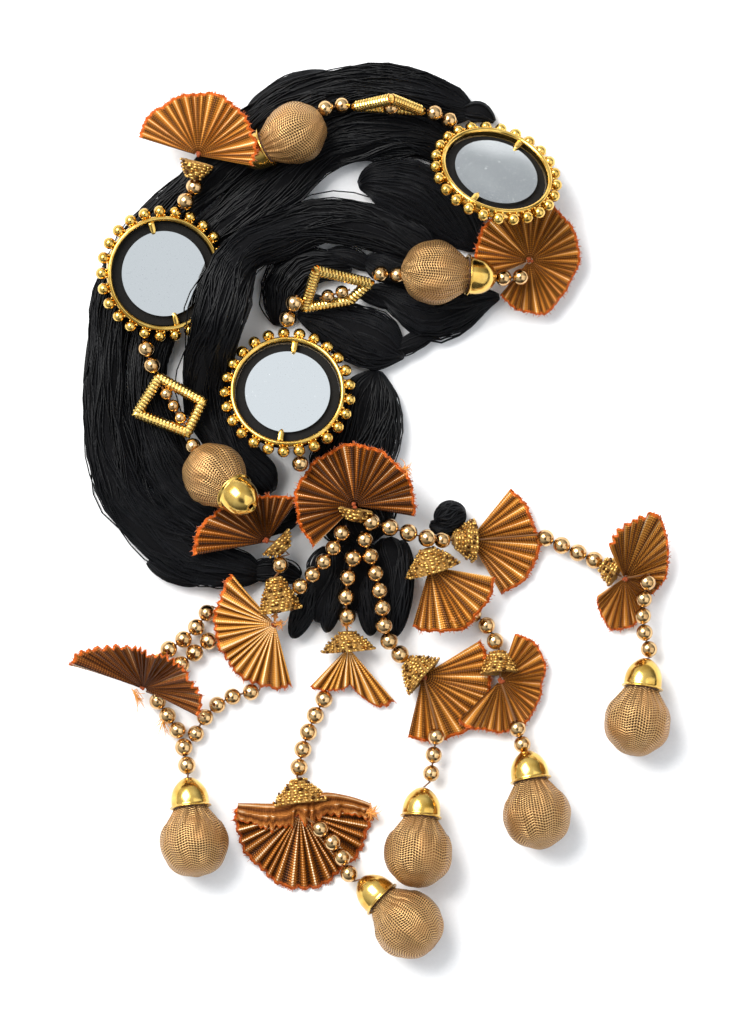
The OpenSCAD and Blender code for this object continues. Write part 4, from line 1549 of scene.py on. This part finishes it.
@dataclass
class CapBell:
    """A smooth bell over the neck of a ball: a thin flange, a dome and a hole for the thread.

    The row is that of the ball: [column, row, height, radius in mm, column, row, height that the cap points
    to]. The outline outside is [radius, height] in mm, and the inside keeps the wall's distance from it.
    """

    node: str
    row: tuple[float, ...]
    gap: float = 0.6
    wall: float = 0.45
    columns: int = 40
    flange_points: int = 5
    outline: tuple[tuple[float, float], ...] = (
        (5.6, 0.0), (6.2, 0.0), (6.3, 0.15), (6.2, 0.42), (5.5, 0.7), (5.3, 1.1), (5.25, 2.4), (5.1, 3.6),
        (4.75, 4.8), (4.25, 5.8), (3.5, 6.8), (2.75, 7.55), (1.9, 8.2), (1.2, 8.55), (0.8, 8.65))

    def build(self, finishes: Finishes) -> list[Piece]:
        """Make the bell, with its wall.

        Args:
            finishes: the part's materials.

        Returns:
            The new pieces.
        """
        centre = plan(np.array(self.row[:3]))
        axis = unit(plan(np.array(self.row[4:7])) - centre)
        outer = np.array(self.outline)
        inner = outer[self.flange_points:][::-1]
        heading = unit(np.gradient(inner, axis=0))
        inner = inner + np.stack([-heading[:, 1], heading[:, 0]], -1) * self.wall
        inner[0] = outer[-1] - [0, self.wall]
        profile = np.concatenate([outer, inner])[::-1] * MM
        at = centre + axis * (self.row[3] + self.gap) * MM
        piece = lathe(profile, at, axis, self.columns).make(self.node + "_bell", finishes.gilt, "gilt_metal")
        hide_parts(self.node)
        return [piece]


@dataclass
class MirrorRing:
    """A rounded gilt ring round a mirror, with round beads on its rim, small grains between and two tongues.

    The place is [column, row, height, tilt, direction of the raised edge, turn of the tongues], in degrees.
    All sizes are in mm.
    """

    node: str
    place: tuple[float, ...]
    inner_r: float = 15.6
    outer_r: float = 17.2
    half_high: float = 1.9
    bead_r: float = 1.85
    bead_ring_r: float = 18.65
    beads: int = 25
    grain_r: float = 0.42
    grain_ring_r: float = 17.5
    columns: int = 96
    bead_sides: int = 12
    grain_sides: int = 6
    grain_sink: float = 0.55
    tongue_from: float = 12.1
    tongue_high: float = 1.05
    tongue_wide: tuple[float, ...] = (0.35, 0.8, 1.0, 1.0, 1.0, 1.0)
    tongue_thick: float = 0.28

    def axes(self) -> np.ndarray:
        """Work out the ring's own X, Y and Z as a turn of the frame's about a line k in the plane.

        Returns:
            The three directions, each v cos(tilt) + (k x v) sin(tilt) + k (k . v) (1 - cos(tilt)).
        """
        tilt, way = np.radians(self.place[3:5])
        k = np.array([np.sin(way), -np.cos(way), 0])
        v = np.eye(3)
        return v * np.cos(tilt) + np.cross(k, v) * np.sin(tilt) + np.outer(k, k) * (1 - np.cos(tilt))

    def build(self, finishes: Finishes) -> list[Piece]:
        """Make the ring with its beads, grains and tongues.

        Args:
            finishes: the part's materials.

        Returns:
            The new pieces.
        """
        x, y, z = self.axes()
        centre = plan(np.array(self.place[:3]))
        h, a, b = self.half_high, self.inner_r, self.outer_r
        outline = [
            (a, -h), (b - 0.2, -h), (b, -h + 0.2), (b, h - 0.7), (b - 0.15, h - 0.25), (b - 0.5, h),
            (b - 0.9, h), (a + 0.3, h - 0.3), (a + 0.05, h - 0.8)]
        parts = [lathe(np.array(outline) * MM, centre, z, self.columns)]
        for count, ring_r, ball_r, high, sides in (
                (self.beads, self.bead_ring_r, self.bead_r, 0.0, self.bead_sides),
                (self.beads * 2, self.grain_ring_r, self.grain_r, h - self.grain_sink, self.grain_sides)):
            out = circle(x, y, angles(count) + np.pi / count)
            parts.append(pearls(centre + (out * ring_r + z * high) * MM, ball_r * MM, z, sides))
        for q in np.radians(self.place[5]) + np.array([0, np.pi]):
            reach = np.linspace(self.tongue_from, self.inner_r + 0.3, len(self.tongue_wide))[:, None]
            path = centre + (circle(x, y, q) * reach + z * self.tongue_high) * MM
            wide, thick = np.array([self.tongue_wide]) * MM, self.tongue_thick * MM
            parts.append(tubes(path[None], wide, 8, up=z, high=thick))
        piece = Skin.joined(parts).make(self.node + "_rim", finishes.gilt, "gilt_metal")
        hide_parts(self.node)
        return [piece]


@dataclass
class WoundFrame:
    """A square of bar wound with flat wire: one spiral carried along the bar's four sides.

    The wire's middle is bar(s) + (across cos(q) + over sin(q)) * r, where q makes one turn for each pitch.
    """

    node: str
    corners: Rows
    wire_r: float = 1.55 * MM
    pitch: float = 1.05 * MM
    wire_wide: float = 0.46 * MM
    wire_thick: float = 0.2 * MM
    steps: int = 14

    def build(self, finishes: Finishes) -> list[Piece]:
        """Make the winding over each side of the bar.

        Args:
            finishes: the part's materials.

        Returns:
            The new pieces.
        """
        corners = plan(np.array(self.corners))
        flat = unit(np.cross(corners[2] - corners[0], corners[3] - corners[1]))
        skins = []
        for a, b in zip(corners, np.roll(corners, -1, 0)):
            along = unit(b - a)
            across, over = square_to(along, -flat)
            length = np.linalg.norm(b - a)
            turns = int(length / self.pitch)
            q = np.linspace(0, turns * TURN, turns * self.steps + 1)
            out = circle(across, over, q)
            path = above(a + along * (length * q / q[-1])[:, None] + out * self.wire_r, 0.4 * MM)
            skins.append(tubes(path[None], self.wire_wide, 4, up=out[None], high=self.wire_thick))
        piece = Skin.joined(skins).make(self.node + "_winding", finishes.wound, "wound_gilt", smooth=False)
        dress(self.node, finishes.gilt)
        return [piece]


def dress(node: str, paint: Material) -> None:
    """Give a piece of the frame its material.

    Args:
        node: name of the piece.
        paint: its material.
    """
    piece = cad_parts[node]
    if not piece.material_slots:
        piece.data.materials.append(paint)
    for spot in piece.material_slots:
        spot.material = paint


# Tables of the part

OUTER_ROWS = [
    [474, 112, 0.4, 9, 2], [452, 107, 0, 18, 3.2], [422, 94, 0, 22, 4.5], [382, 87, 0, 22, 4.8],
    [345, 90, 0, 22, 4.8], [309, 100, 0, 24, 4.8], [275, 118, 0, 25, 4.8], [249, 139, 0, 25, 4.8],
    [220, 167, 0, 23, 4.8], [187, 197, 0, 21, 4.8], [154, 228, 0, 22, 4.8], [129, 265, 0, 22, 4.8],
    [113, 303, 0, 22, 4.8], [108, 350, 0, 20, 4.8], [105, 400, 0, 21, 4.8], [108, 440, 0, 24, 4.8],
    [118, 476, 0, 25, 4.8], [131, 506, 0, 25, 4.8], [156, 533, 0, 27, 4.8], [188, 554, 0, 27, 4.8],
    [216, 564, 0, 23, 4.6], [242, 570, 0, 17, 4], [262, 575, 0.4, 10, 3]]
MIDDLE_ROWS = [
    [458, 163, 0, 11, 2.2], [444, 147, 0, 18, 2.8], [420, 137, 0, 20, 4], [388, 133, 0, 23, 4.8],
    [352, 137, 0, 25, 4.8], [320, 152, 0, 23, 4.8], [288, 179, 0, 26, 4.8], [250, 204, 0, 22, 4.8],
    [208, 239, 0, 20, 4.8], [179, 273, 0, 20, 4.8], [164, 311, 0, 22, 4.8], [152, 350, 0, 19, 4.8],
    [146, 390, 0, 18, 4.8], [156, 432, 0, 23, 4.8], [172, 474, 0, 24, 4.8], [199, 503, 0, 21, 4.8],
    [236, 519, 0, 19, 4.6], [275, 520, 0, 15, 4.4], [302, 510, 0.4, 10, 4]]
INNER_ROWS = [
    [434, 257, 0.2, 12, 3.8], [412, 244, 0, 20, 4.6], [380, 229, 0, 22, 4.8], [346, 222, 0, 22, 4.8],
    [312, 223, 0.2, 22, 4.8], [281, 236, 2.2, 22, 4.8], [252, 248, 6.2, 20, 4.6],
    [233, 268, 11, 23, 4.5], [224, 300, 13, 27, 4.5], [216, 332, 12.4, 26, 4.5],
    [208, 364, 5.6, 24, 4.8], [206, 396, 0.2, 24, 4.8], [216, 424, 0, 23, 4.8], [238, 452, 0, 21, 4.8],
    [260, 476, 0, 18, 4.8], [272, 492, 0.4, 11, 4.2]]
SIDE_ROWS = [
    [378, 371, 0.2, 11, 3], [373, 386, 0, 23, 4.2], [368, 406, 0, 33, 4.6], [363, 428, 0, 36, 4.8],
    [354, 452, 0, 37, 4.8], [348, 476, 0, 39, 4.8], [351, 500, 0, 40, 4.8], [357, 522, 0, 38, 4.6],
    [362, 538, 0, 27, 4], [364, 546, 0.4, 13, 3]]
UPPER_FOLD_ROWS = [
    [359, 186, 0.4, 11, 3.4], [374, 183, 0, 21, 4.6], [402, 186.5, 0, 28.5, 4.8],
    [427, 198.5, 0, 29.5, 4.6], [449, 216, 0, 27, 3.4], [467, 233, 0, 20, 2.6],
    [477, 250, 0.2, 11, 2.2]]
LOWER_FOLD_ROWS = [
    [298, 315, 0.2, 8, 2.6], [322, 319, 0, 18, 3.4], [350, 330, 0, 27, 3.8], [377, 343, 0, 28, 4.2],
    [395, 352, 0, 17, 3.6], [404, 357, 0.4, 8, 3]]
TAIL_FOLD_ROWS = [
    [366, 291, 0.2, 7, 3], [384, 294, 0, 9, 3.6], [405, 305, 0, 16.5, 4.4], [430, 316, 0, 25, 4.6],
    [456, 310, 0, 22, 4.2], [480, 301, 0, 13, 3.4], [499, 297, 0.2, 7, 2.6]]
SLIT_FOLD_ROWS = [
    [352, 267, 0.2, 9, 2.8], [330, 265, 0, 14, 3.8], [303, 267, 0, 19, 4], [284, 287, 0, 20, 3.8],
    [282, 308, 0, 17, 3.2], [278, 326, 0.2, 11, 2.4]]
SHORT_FOLD_ROWS = [
    [363, 260, 0.2, 7, 2.8], [377, 266, 0, 13, 3.8], [396, 272, 0, 13, 4], [418, 278, 0, 12, 3.8],
    [434, 280, 0.2, 6, 2.8]]
KNOB_ROWS = [
    [305, 608, 4.4, 3.9, 4.2, 10, 68], [334, 594, 4.4, 3.8, 4.2, 12, 79],
    [368, 600, 4.4, 3.8, 4.2, 11, 95], [398, 589, 4.8, 5, 4.8, 15, 84],
    [450, 516, 4.4, 4.8, 4.4, 5.2, 20]]
BRIDGE_ROWS = [
    [[330, 546, 0, 20, 4.4], [331, 575, 0, 25, 4.4], [324, 600, 0, 20, 4.2], [318, 622, 0.2, 10, 3]],
    [[386, 538, 0, 20, 4.4], [390, 566, 0, 24, 4.6], [386, 598, 0, 22, 4.4], [382, 626, 0.2, 11, 3]],
    [[356, 540, 0, 20, 4], [357, 575, 0, 24, 4.2], [352, 612, 0.2, 10, 3.4]],
    [[252, 573, 0, 12, 3.8], [276, 571, 0, 11, 3.8], [300, 578, 0.2, 12, 3.6]],
    [[326, 253, 0, 5, 2.4], [350, 257, 0, 10, 3.2], [372, 268, 0, 9, 3]],
    [[395, 352, 0, 10, 3.6], [412, 343, 0, 10, 3.6], [432, 335, 0, 8, 3]],
    [[462, 112, 0, 12, 3.2], [480, 112, 0.2, 12, 2.8], [494, 122, 0.3, 6, 2]],
    [[248, 112, 0, 5, 3.4], [270, 94, 0, 7, 4], [296, 81, 0, 8, 4], [326, 73, 0, 5, 3.4]],
    [[148, 562, 0, 6, 3.4], [170, 576, 0, 7, 4], [200, 583, 0, 6, 3.4]],
    [[430, 524, 0, 8, 3.4], [446, 528, 0, 9, 3.6], [464, 520, 0, 6, 3]],
    [[356, 292, 0, 6, 3], [372, 297, 0, 9, 3.6], [392, 306, 0, 9, 3.6]],
    [[300, 300, 0, 10, 3], [322, 306, 0, 9, 3.2], [346, 312, 0, 10, 3.2]]]

FLAP_ROWS = [
    [238, 803, 3.7, 238, 818, 3.8], [255, 803, 4.6, 256, 826, 4.5], [275, 803, 5.8, 272, 828, 5.3],
    [290, 800, 6.6, 289, 829, 6.2], [300, 798, 7, 297, 817, 6.8], [312, 796, 7, 313, 822, 6.4],
    [325, 792, 6.4, 330, 817, 5.6], [345, 795, 4, 348, 813, 4.2], [362, 800, 2.8, 366, 818, 3.2],
    [371, 804, 2.3, 374, 821, 2.8]]
TUFT_ROWS = [
    [368, 812, 3.6, 0, 4.2, 34, 1], [402, 470, 13, 20, 3.6, 26, 1], [346.5, 623, 8.4, 90, 1.6, 24, 1],
    [346.5, 623, 8.4, 270, 1.6, 24, 1], [449, 616, 8, 290, 3.2, 24, 1],
    [281, 622, 11, 250, 2.6, 30, 1], [277, 616, 11, 160, 2.2, 24, 1],
    [134, 690, 5.5, 300, 6.5, 16, 0.3], [165, 716, 3.5, 250, 6, 12, 0.3]]

HANKS = [
    ThreadHank("outer_hank", [OUTER_ROWS], seed=11),
    ThreadHank("middle_hank", [MIDDLE_ROWS], seed=12),
    ThreadHank("inner_hank", [INNER_ROWS], seed=13),
    ThreadHank("side_hank", [SIDE_ROWS], seed=14),
    ThreadHank("upper_fold", [UPPER_FOLD_ROWS], seed=15),
    ThreadHank("lower_folds", [LOWER_FOLD_ROWS, TAIL_FOLD_ROWS], threads_in_lock=6, seed=16),
    ThreadHank("inner_folds", [SLIT_FOLD_ROWS, SHORT_FOLD_ROWS], threads_in_lock=6, seed=17),
    ThreadHank("bridging_threads", BRIDGE_ROWS, locks=7, threads_in_lock=5, seed=18, in_frame=False)]
KNOBS = ThreadKnobs("hank_knobs", KNOB_ROWS)

FANS = [
    PleatedFan("fan_top_left", (199, 157, 15), [
        [163, -3, 18.6], [75, 2, 18.8], [40, 12, 18.8], [-12, 27, 18.6]], 21, rests_on="garland_cones"),
    PleatedFan("fan_right", (529, 261, 8), [
        [205, 3, 15.5], [150, 6, 16.8], [60, 2, 17.4], [5, -4, 15], [-30, -8, 14], [-75, -6, 16.6],
        [-130, 0, 14]], 22, rests_on="garland_beads"),
    PleatedFan("fan_lower_left", (267, 542, 13.4), [
        [190, -5, 22.6], [150, 0, 18.2], [95, 4, 13.4], [53, 2, 16]],
        23, Shade.BROWN, rests_on="garland_cones"),
    PleatedFan("fan_head", (355, 505.5, 16), [
        [225, -3, 17.6], [100, 0, 18.2], [-10, -10, 18]], 24, Shade.BROWN, rests_on="garland_cones"),
    PleatedFan("fan_strand_1_upper", (275, 624, 9.2), [
        [130, 8, 19.6], [160, -4, 18.6], [208, -14, 18.2], [225, -16, 19.8], [285, -16, 19.8]], 25),
    PleatedFan("fan_strand_1_lower", (144, 688, 8.4), [
        [163, 2, 24], [130, 40, 21], [75, 54, 18], [10, 34, 18], [-28, 6, 19]], 26, Shade.RUST),
    PleatedFan("fan_strand_2_upper", (348.3, 647.5, 6.1), [
        [225.8, -9.7, 16.5], [244.8, -10.4, 14.6], [260.7, -10.2, 13.6], [273.3, -5.7, 10.6],
        [297.9, -10.3, 20.5], [310.7, -9.6, 20.9]], 27),
    PleatedFan("fan_strand_2_lower", (300, 812, 5.4), [
        [176, -9, 19.2], [225, -10, 21], [270, -9, 23.5], [318, -10, 22], [365, -9, 21]], 28, Shade.BROWN),
    PleatedFan("fan_strand_3", (422.8, 675.5, 5.69), [
        [31.5, -8.7, 19.7], [-35.1, -9, 21.6], [-103.5, -8.7, 19.7]], 29),
    PleatedFan("fan_strand_4_upper", (429.9, 566.2, 11.3), [
        [-9.6, -4.6, 20.1], [-59.9, -7.9, 21], [-106.3, -4.6, 19.1]], 30),
    PleatedFan("fan_strand_4_lower", (500, 680, 5), [
        [72, -6, 15], [40, -7, 15.6], [-6, -8, 12.6], [-64, -8, 15], [-109, -4, 16.2], [-137, 2, 17.6]], 31),
    PleatedFan("fan_strand_5_upper", (469.6, 539.9, 5.79), [
        [51.2, -8.3, 19.7], [-14.1, -8.6, 21.2], [-59.5, -9.1, 19.5]], 32),
    PleatedFan("fan_strand_5_lower", (624, 578, 6.4), [
        [118, 52, 17], [84, 32, 21], [62, 12, 22], [38, 2, 16], [0, -8, 12.4], [-45, -20, 8],
        [-80, -16, 15.6], [-104, -15, 16.2], [-146, -12, 10]], 33)]

BALL_ROWS = {
    "top": (296, 135, 17.8, 9.2, 236, 164, 12.6),
    "centre": (433, 274, 18.4, 9.6, 500, 279, 14),
    "left": (215, 475, 18.6, 9.4, 256, 510, 31),
    "strand_1": (195, 842, 10.5, 10.2, 188, 776, 7.2),
    "strand_2": (408.5, 923, 10.6, 10.3, 361, 879, 7.2),
    "strand_3": (418, 852, 10.6, 10.2, 423, 786, 7.2),
    "strand_4": (536.5, 814.5, 10.4, 10.1, 525, 749, 7.2),
    "strand_5": (636.5, 722, 10.2, 9.9, 646, 655, 7.2)}
BALLS = [GatheredBall(f"ball_{place}", row, seed) for seed, (place, row) in enumerate(BALL_ROWS.items(), 41)]
CAPS = [CapBell(f"cap_{place}", row) for place, row in BALL_ROWS.items()]

GARLAND_CONE_ROWS = [
    [194, 180, 14.6, 198, 164, 15.2, 4.8, 3.6], [286, 551, 13.2, 276, 541, 13.4, 5.4, 3.6],
    [354, 521, 16, 356, 509, 16.4, 5, 3.6]]
TASSEL_CONE_ROWS = [
    [275, 577, 13, 281, 611, 12.2, 6.2, 3.6], [165, 659, 5, 151, 675, 5.4, 5.2, 4.4],
    [347, 631, 6.4, 348.6, 651, 6, 8, 3.6], [298, 779, 3.6, 301, 804, 4.8, 8.6, 4.2],
    [406, 661, 4.6, 424.5, 677, 5.4, 6.8, 4.4], [453, 540, 7.4, 474, 540, 5.4, 6.2, 4.4],
    [426.5, 549, 13.4, 433, 570.5, 11.6, 8.2, 3.6], [497.5, 651, 3.8, 499, 673, 5, 5.4, 4.2],
    [602, 564, 4.6, 617, 573, 5.6, 4.4, 3.8]]
CONES = [SeededCone("garland_cones", GARLAND_CONE_ROWS), SeededCone("tassel_cones", TASSEL_CONE_ROWS, 4)]

FRAMES = [
    WoundFrame("wound_frame_left", [[160, 378, 13.2], [138, 414, 12.6], [188, 433, 12.8], [203, 402, 13]]),
    WoundFrame("wound_frame_top", [[357, 108, 13.6], [391, 102, 22.5], [420, 112, 13], [391, 110, 11.4]]),
    WoundFrame("wound_frame_centre", [[305, 308, 11.4], [317, 272, 20], [369, 284, 12.4], [350, 301, 9.6]])]

FLAP = FoldedFlap("fan_strand_2_lower_flap", FLAP_ROWS)
TUFTS = LooseTufts("orange_tufts", TUFT_ROWS)

RINGS = [
    MirrorRing("ring_left", (164.6, 274.7, 13.4, 9, 180, -75.5)),
    MirrorRing("ring_centre", (288, 393, 16.6, 18, -90, 82)),
    MirrorRing("ring_right", (495, 175, 17.6, 44, -111, 56))]


# The table, the lights and the camera

@dataclass(frozen=True)
class SoftLight:
    """A square soft light that looks at the middle of the part: place and size in metres, power in watts."""

    name: str
    place: tuple[float, float, float]
    size: float
    power: float
    colour: Colour

    def hang(self) -> None:
        """Hang the light in its place."""
        light = bpy.data.lights.new(self.name, "AREA")
        light.size = self.size
        light.energy = self.power
        light.color = self.colour
        hung = bpy.data.objects.new(self.name, light)
        hung.location = self.place
        hung.rotation_euler = (-Vector(self.place)).to_track_quat("-Z", "Y").to_euler()
        bpy.context.scene.collection.objects.link(hung)


@dataclass(frozen=True)
class SkyPatch:
    """A share of the surroundings' brightness that rises from low to high towards a direction.

    The range runs from the cosine near to the cosine far of the angle between that direction and the ray.
    """

    toward: tuple[float, float, float]
    near: float
    far: float
    low: float
    high: float

    def share(self, steps: NodeSteps, ray: Socket) -> Socket:
        """Work out the patch's share along a ray.

        Args:
            steps: the surroundings' node tree.
            ray: direction of the ray.

        Returns:
            The share.
        """
        dot = steps.step("ShaderNodeVectorMath", operation="DOT_PRODUCT")
        steps.feed(ray, dot.inputs[0])
        steps.feed(Vector(self.toward).normalized(), dot.inputs[1])
        spread = steps.step("ShaderNodeMapRange", interpolation_type="SMOOTHSTEP")
        values = (dot.outputs["Value"], self.near, self.far, self.low, self.high)
        for value, socket in zip(values, spread.inputs):
            steps.feed(value, socket)
        return spread.outputs[0]


@dataclass
class Studio:
    """Pale floor, soft lights from the upper left, and a camera straight above."""

    centre_column: float = 366.0
    centre_row: float = 512.0
    camera_height: float = 3.0
    picture_height: float = 1024 * SQUARE
    sensor_mm: float = 36.0
    see_to: float = 20.0
    floor_half: float = 3.0
    paper: FibreFinish = FibreFinish(
        "pale floor", (0.93, 0.93, 0.935), (0.96, 0.96, 0.965), rough=0.9, scale=900.0, detail=2.0,
        strength=0.0)
    lights: tuple[SoftLight, ...] = (
        SoftLight("key", (-0.85, 0.85, 1.5), 1.2, 56.0, (1.0, 0.985, 0.96)),
        SoftLight("fill", (1.5, -0.4, 1.5), 2.4, 20.0, (0.95, 0.97, 1.0)))
    behind_key: SkyPatch = SkyPatch((-0.55, 0.6, 1.0), -0.2, 0.92, 0.1, 0.98)
    viewer: SkyPatch = SkyPatch((0.0, -0.25, 1.0), 0.93, 0.985, 1.0, 0.08)
    sky_colour: Colour = (0.9, 0.95, 1.0)

    def floor(self) -> None:
        """Lay the floor just under the part."""
        mesh = bpy.data.meshes.new("floor")
        s = self.floor_half
        mesh.from_pydata([(-s, -s, 0), (s, -s, 0), (s, s, 0), (-s, s, 0)], [], [(0, 1, 2, 3)])
        mesh.materials.append(self.paper.paint())
        sheet = bpy.data.objects.new("floor", mesh)
        bpy.context.scene.collection.objects.link(sheet)

    def camera(self) -> None:
        """Set the camera straight above the middle of the picture, with a long lens."""
        data = bpy.data.cameras.new("camera")
        data.sensor_width = self.sensor_mm
        data.lens = self.sensor_mm * self.camera_height / self.picture_height
        data.clip_end = self.see_to
        camera = bpy.data.objects.new("camera", data)
        camera.location = plan(np.array([self.centre_column, self.centre_row, self.camera_height / MM]))
        bpy.context.scene.collection.objects.link(camera)
        bpy.context.scene.camera = camera

    def sky(self) -> None:
        """Light the surroundings: brightest behind the key light, darker away from it and at the viewer."""
        world = bpy.data.worlds.new("surroundings")
        world.use_nodes = True
        steps = NodeSteps(world.node_tree)
        ray = steps.step("ShaderNodeTexCoord").outputs["Generated"]
        shares = (patch.share(steps, ray) for patch in (self.behind_key, self.viewer))
        background = world.node_tree.nodes["Background"]
        steps.feed((*self.sky_colour, 1.0), background.inputs[0])
        steps.feed(steps.sum("MULTIPLY", *shares), background.inputs[1])
        bpy.context.scene.world = world

    def build(self) -> None:
        """Set up the floor, the lights, the surroundings and the camera."""
        self.floor()
        for light in self.lights:
            light.hang()
        self.sky()
        bpy.context.scene.view_settings.view_transform = "Standard"
        self.camera()


def dress_frame(finishes: Finishes) -> None:
    """Give every piece of the frame that stays in view its finish.

    Args:
        finishes: the part's materials.
    """
    for side in ("left", "centre", "right"):
        dress(f"backing_{side}", finishes.card)
        dress(f"mirror_{side}", finishes.mirror)
    for beads in ("garland_beads", *(f"strand_{number}" for number in range(1, 6))):
        dress(beads, finishes.bead)
    for thread in ("garland_thread", "tassel_thread"):
        dress(thread, finishes.string)


def main() -> None:
    """Build the part's pieces in order and log their face counts, then the studio."""
    logging.basicConfig(level=logging.INFO, format="%(name)s: %(message)s")
    finishes = Finishes.mixed()
    dress_frame(finishes)
    for assembly in (*HANKS, KNOBS, *FANS, FLAP, TUFTS, *BALLS, *CAPS, *RINGS, *CONES, *FRAMES):
        for piece in assembly.build(finishes):
            LOG.info("%s: %d faces", piece.name, len(piece.data.polygons))
    Studio().build()
    bpy.context.view_layer.update()


if __name__ == "__main__":
    main()
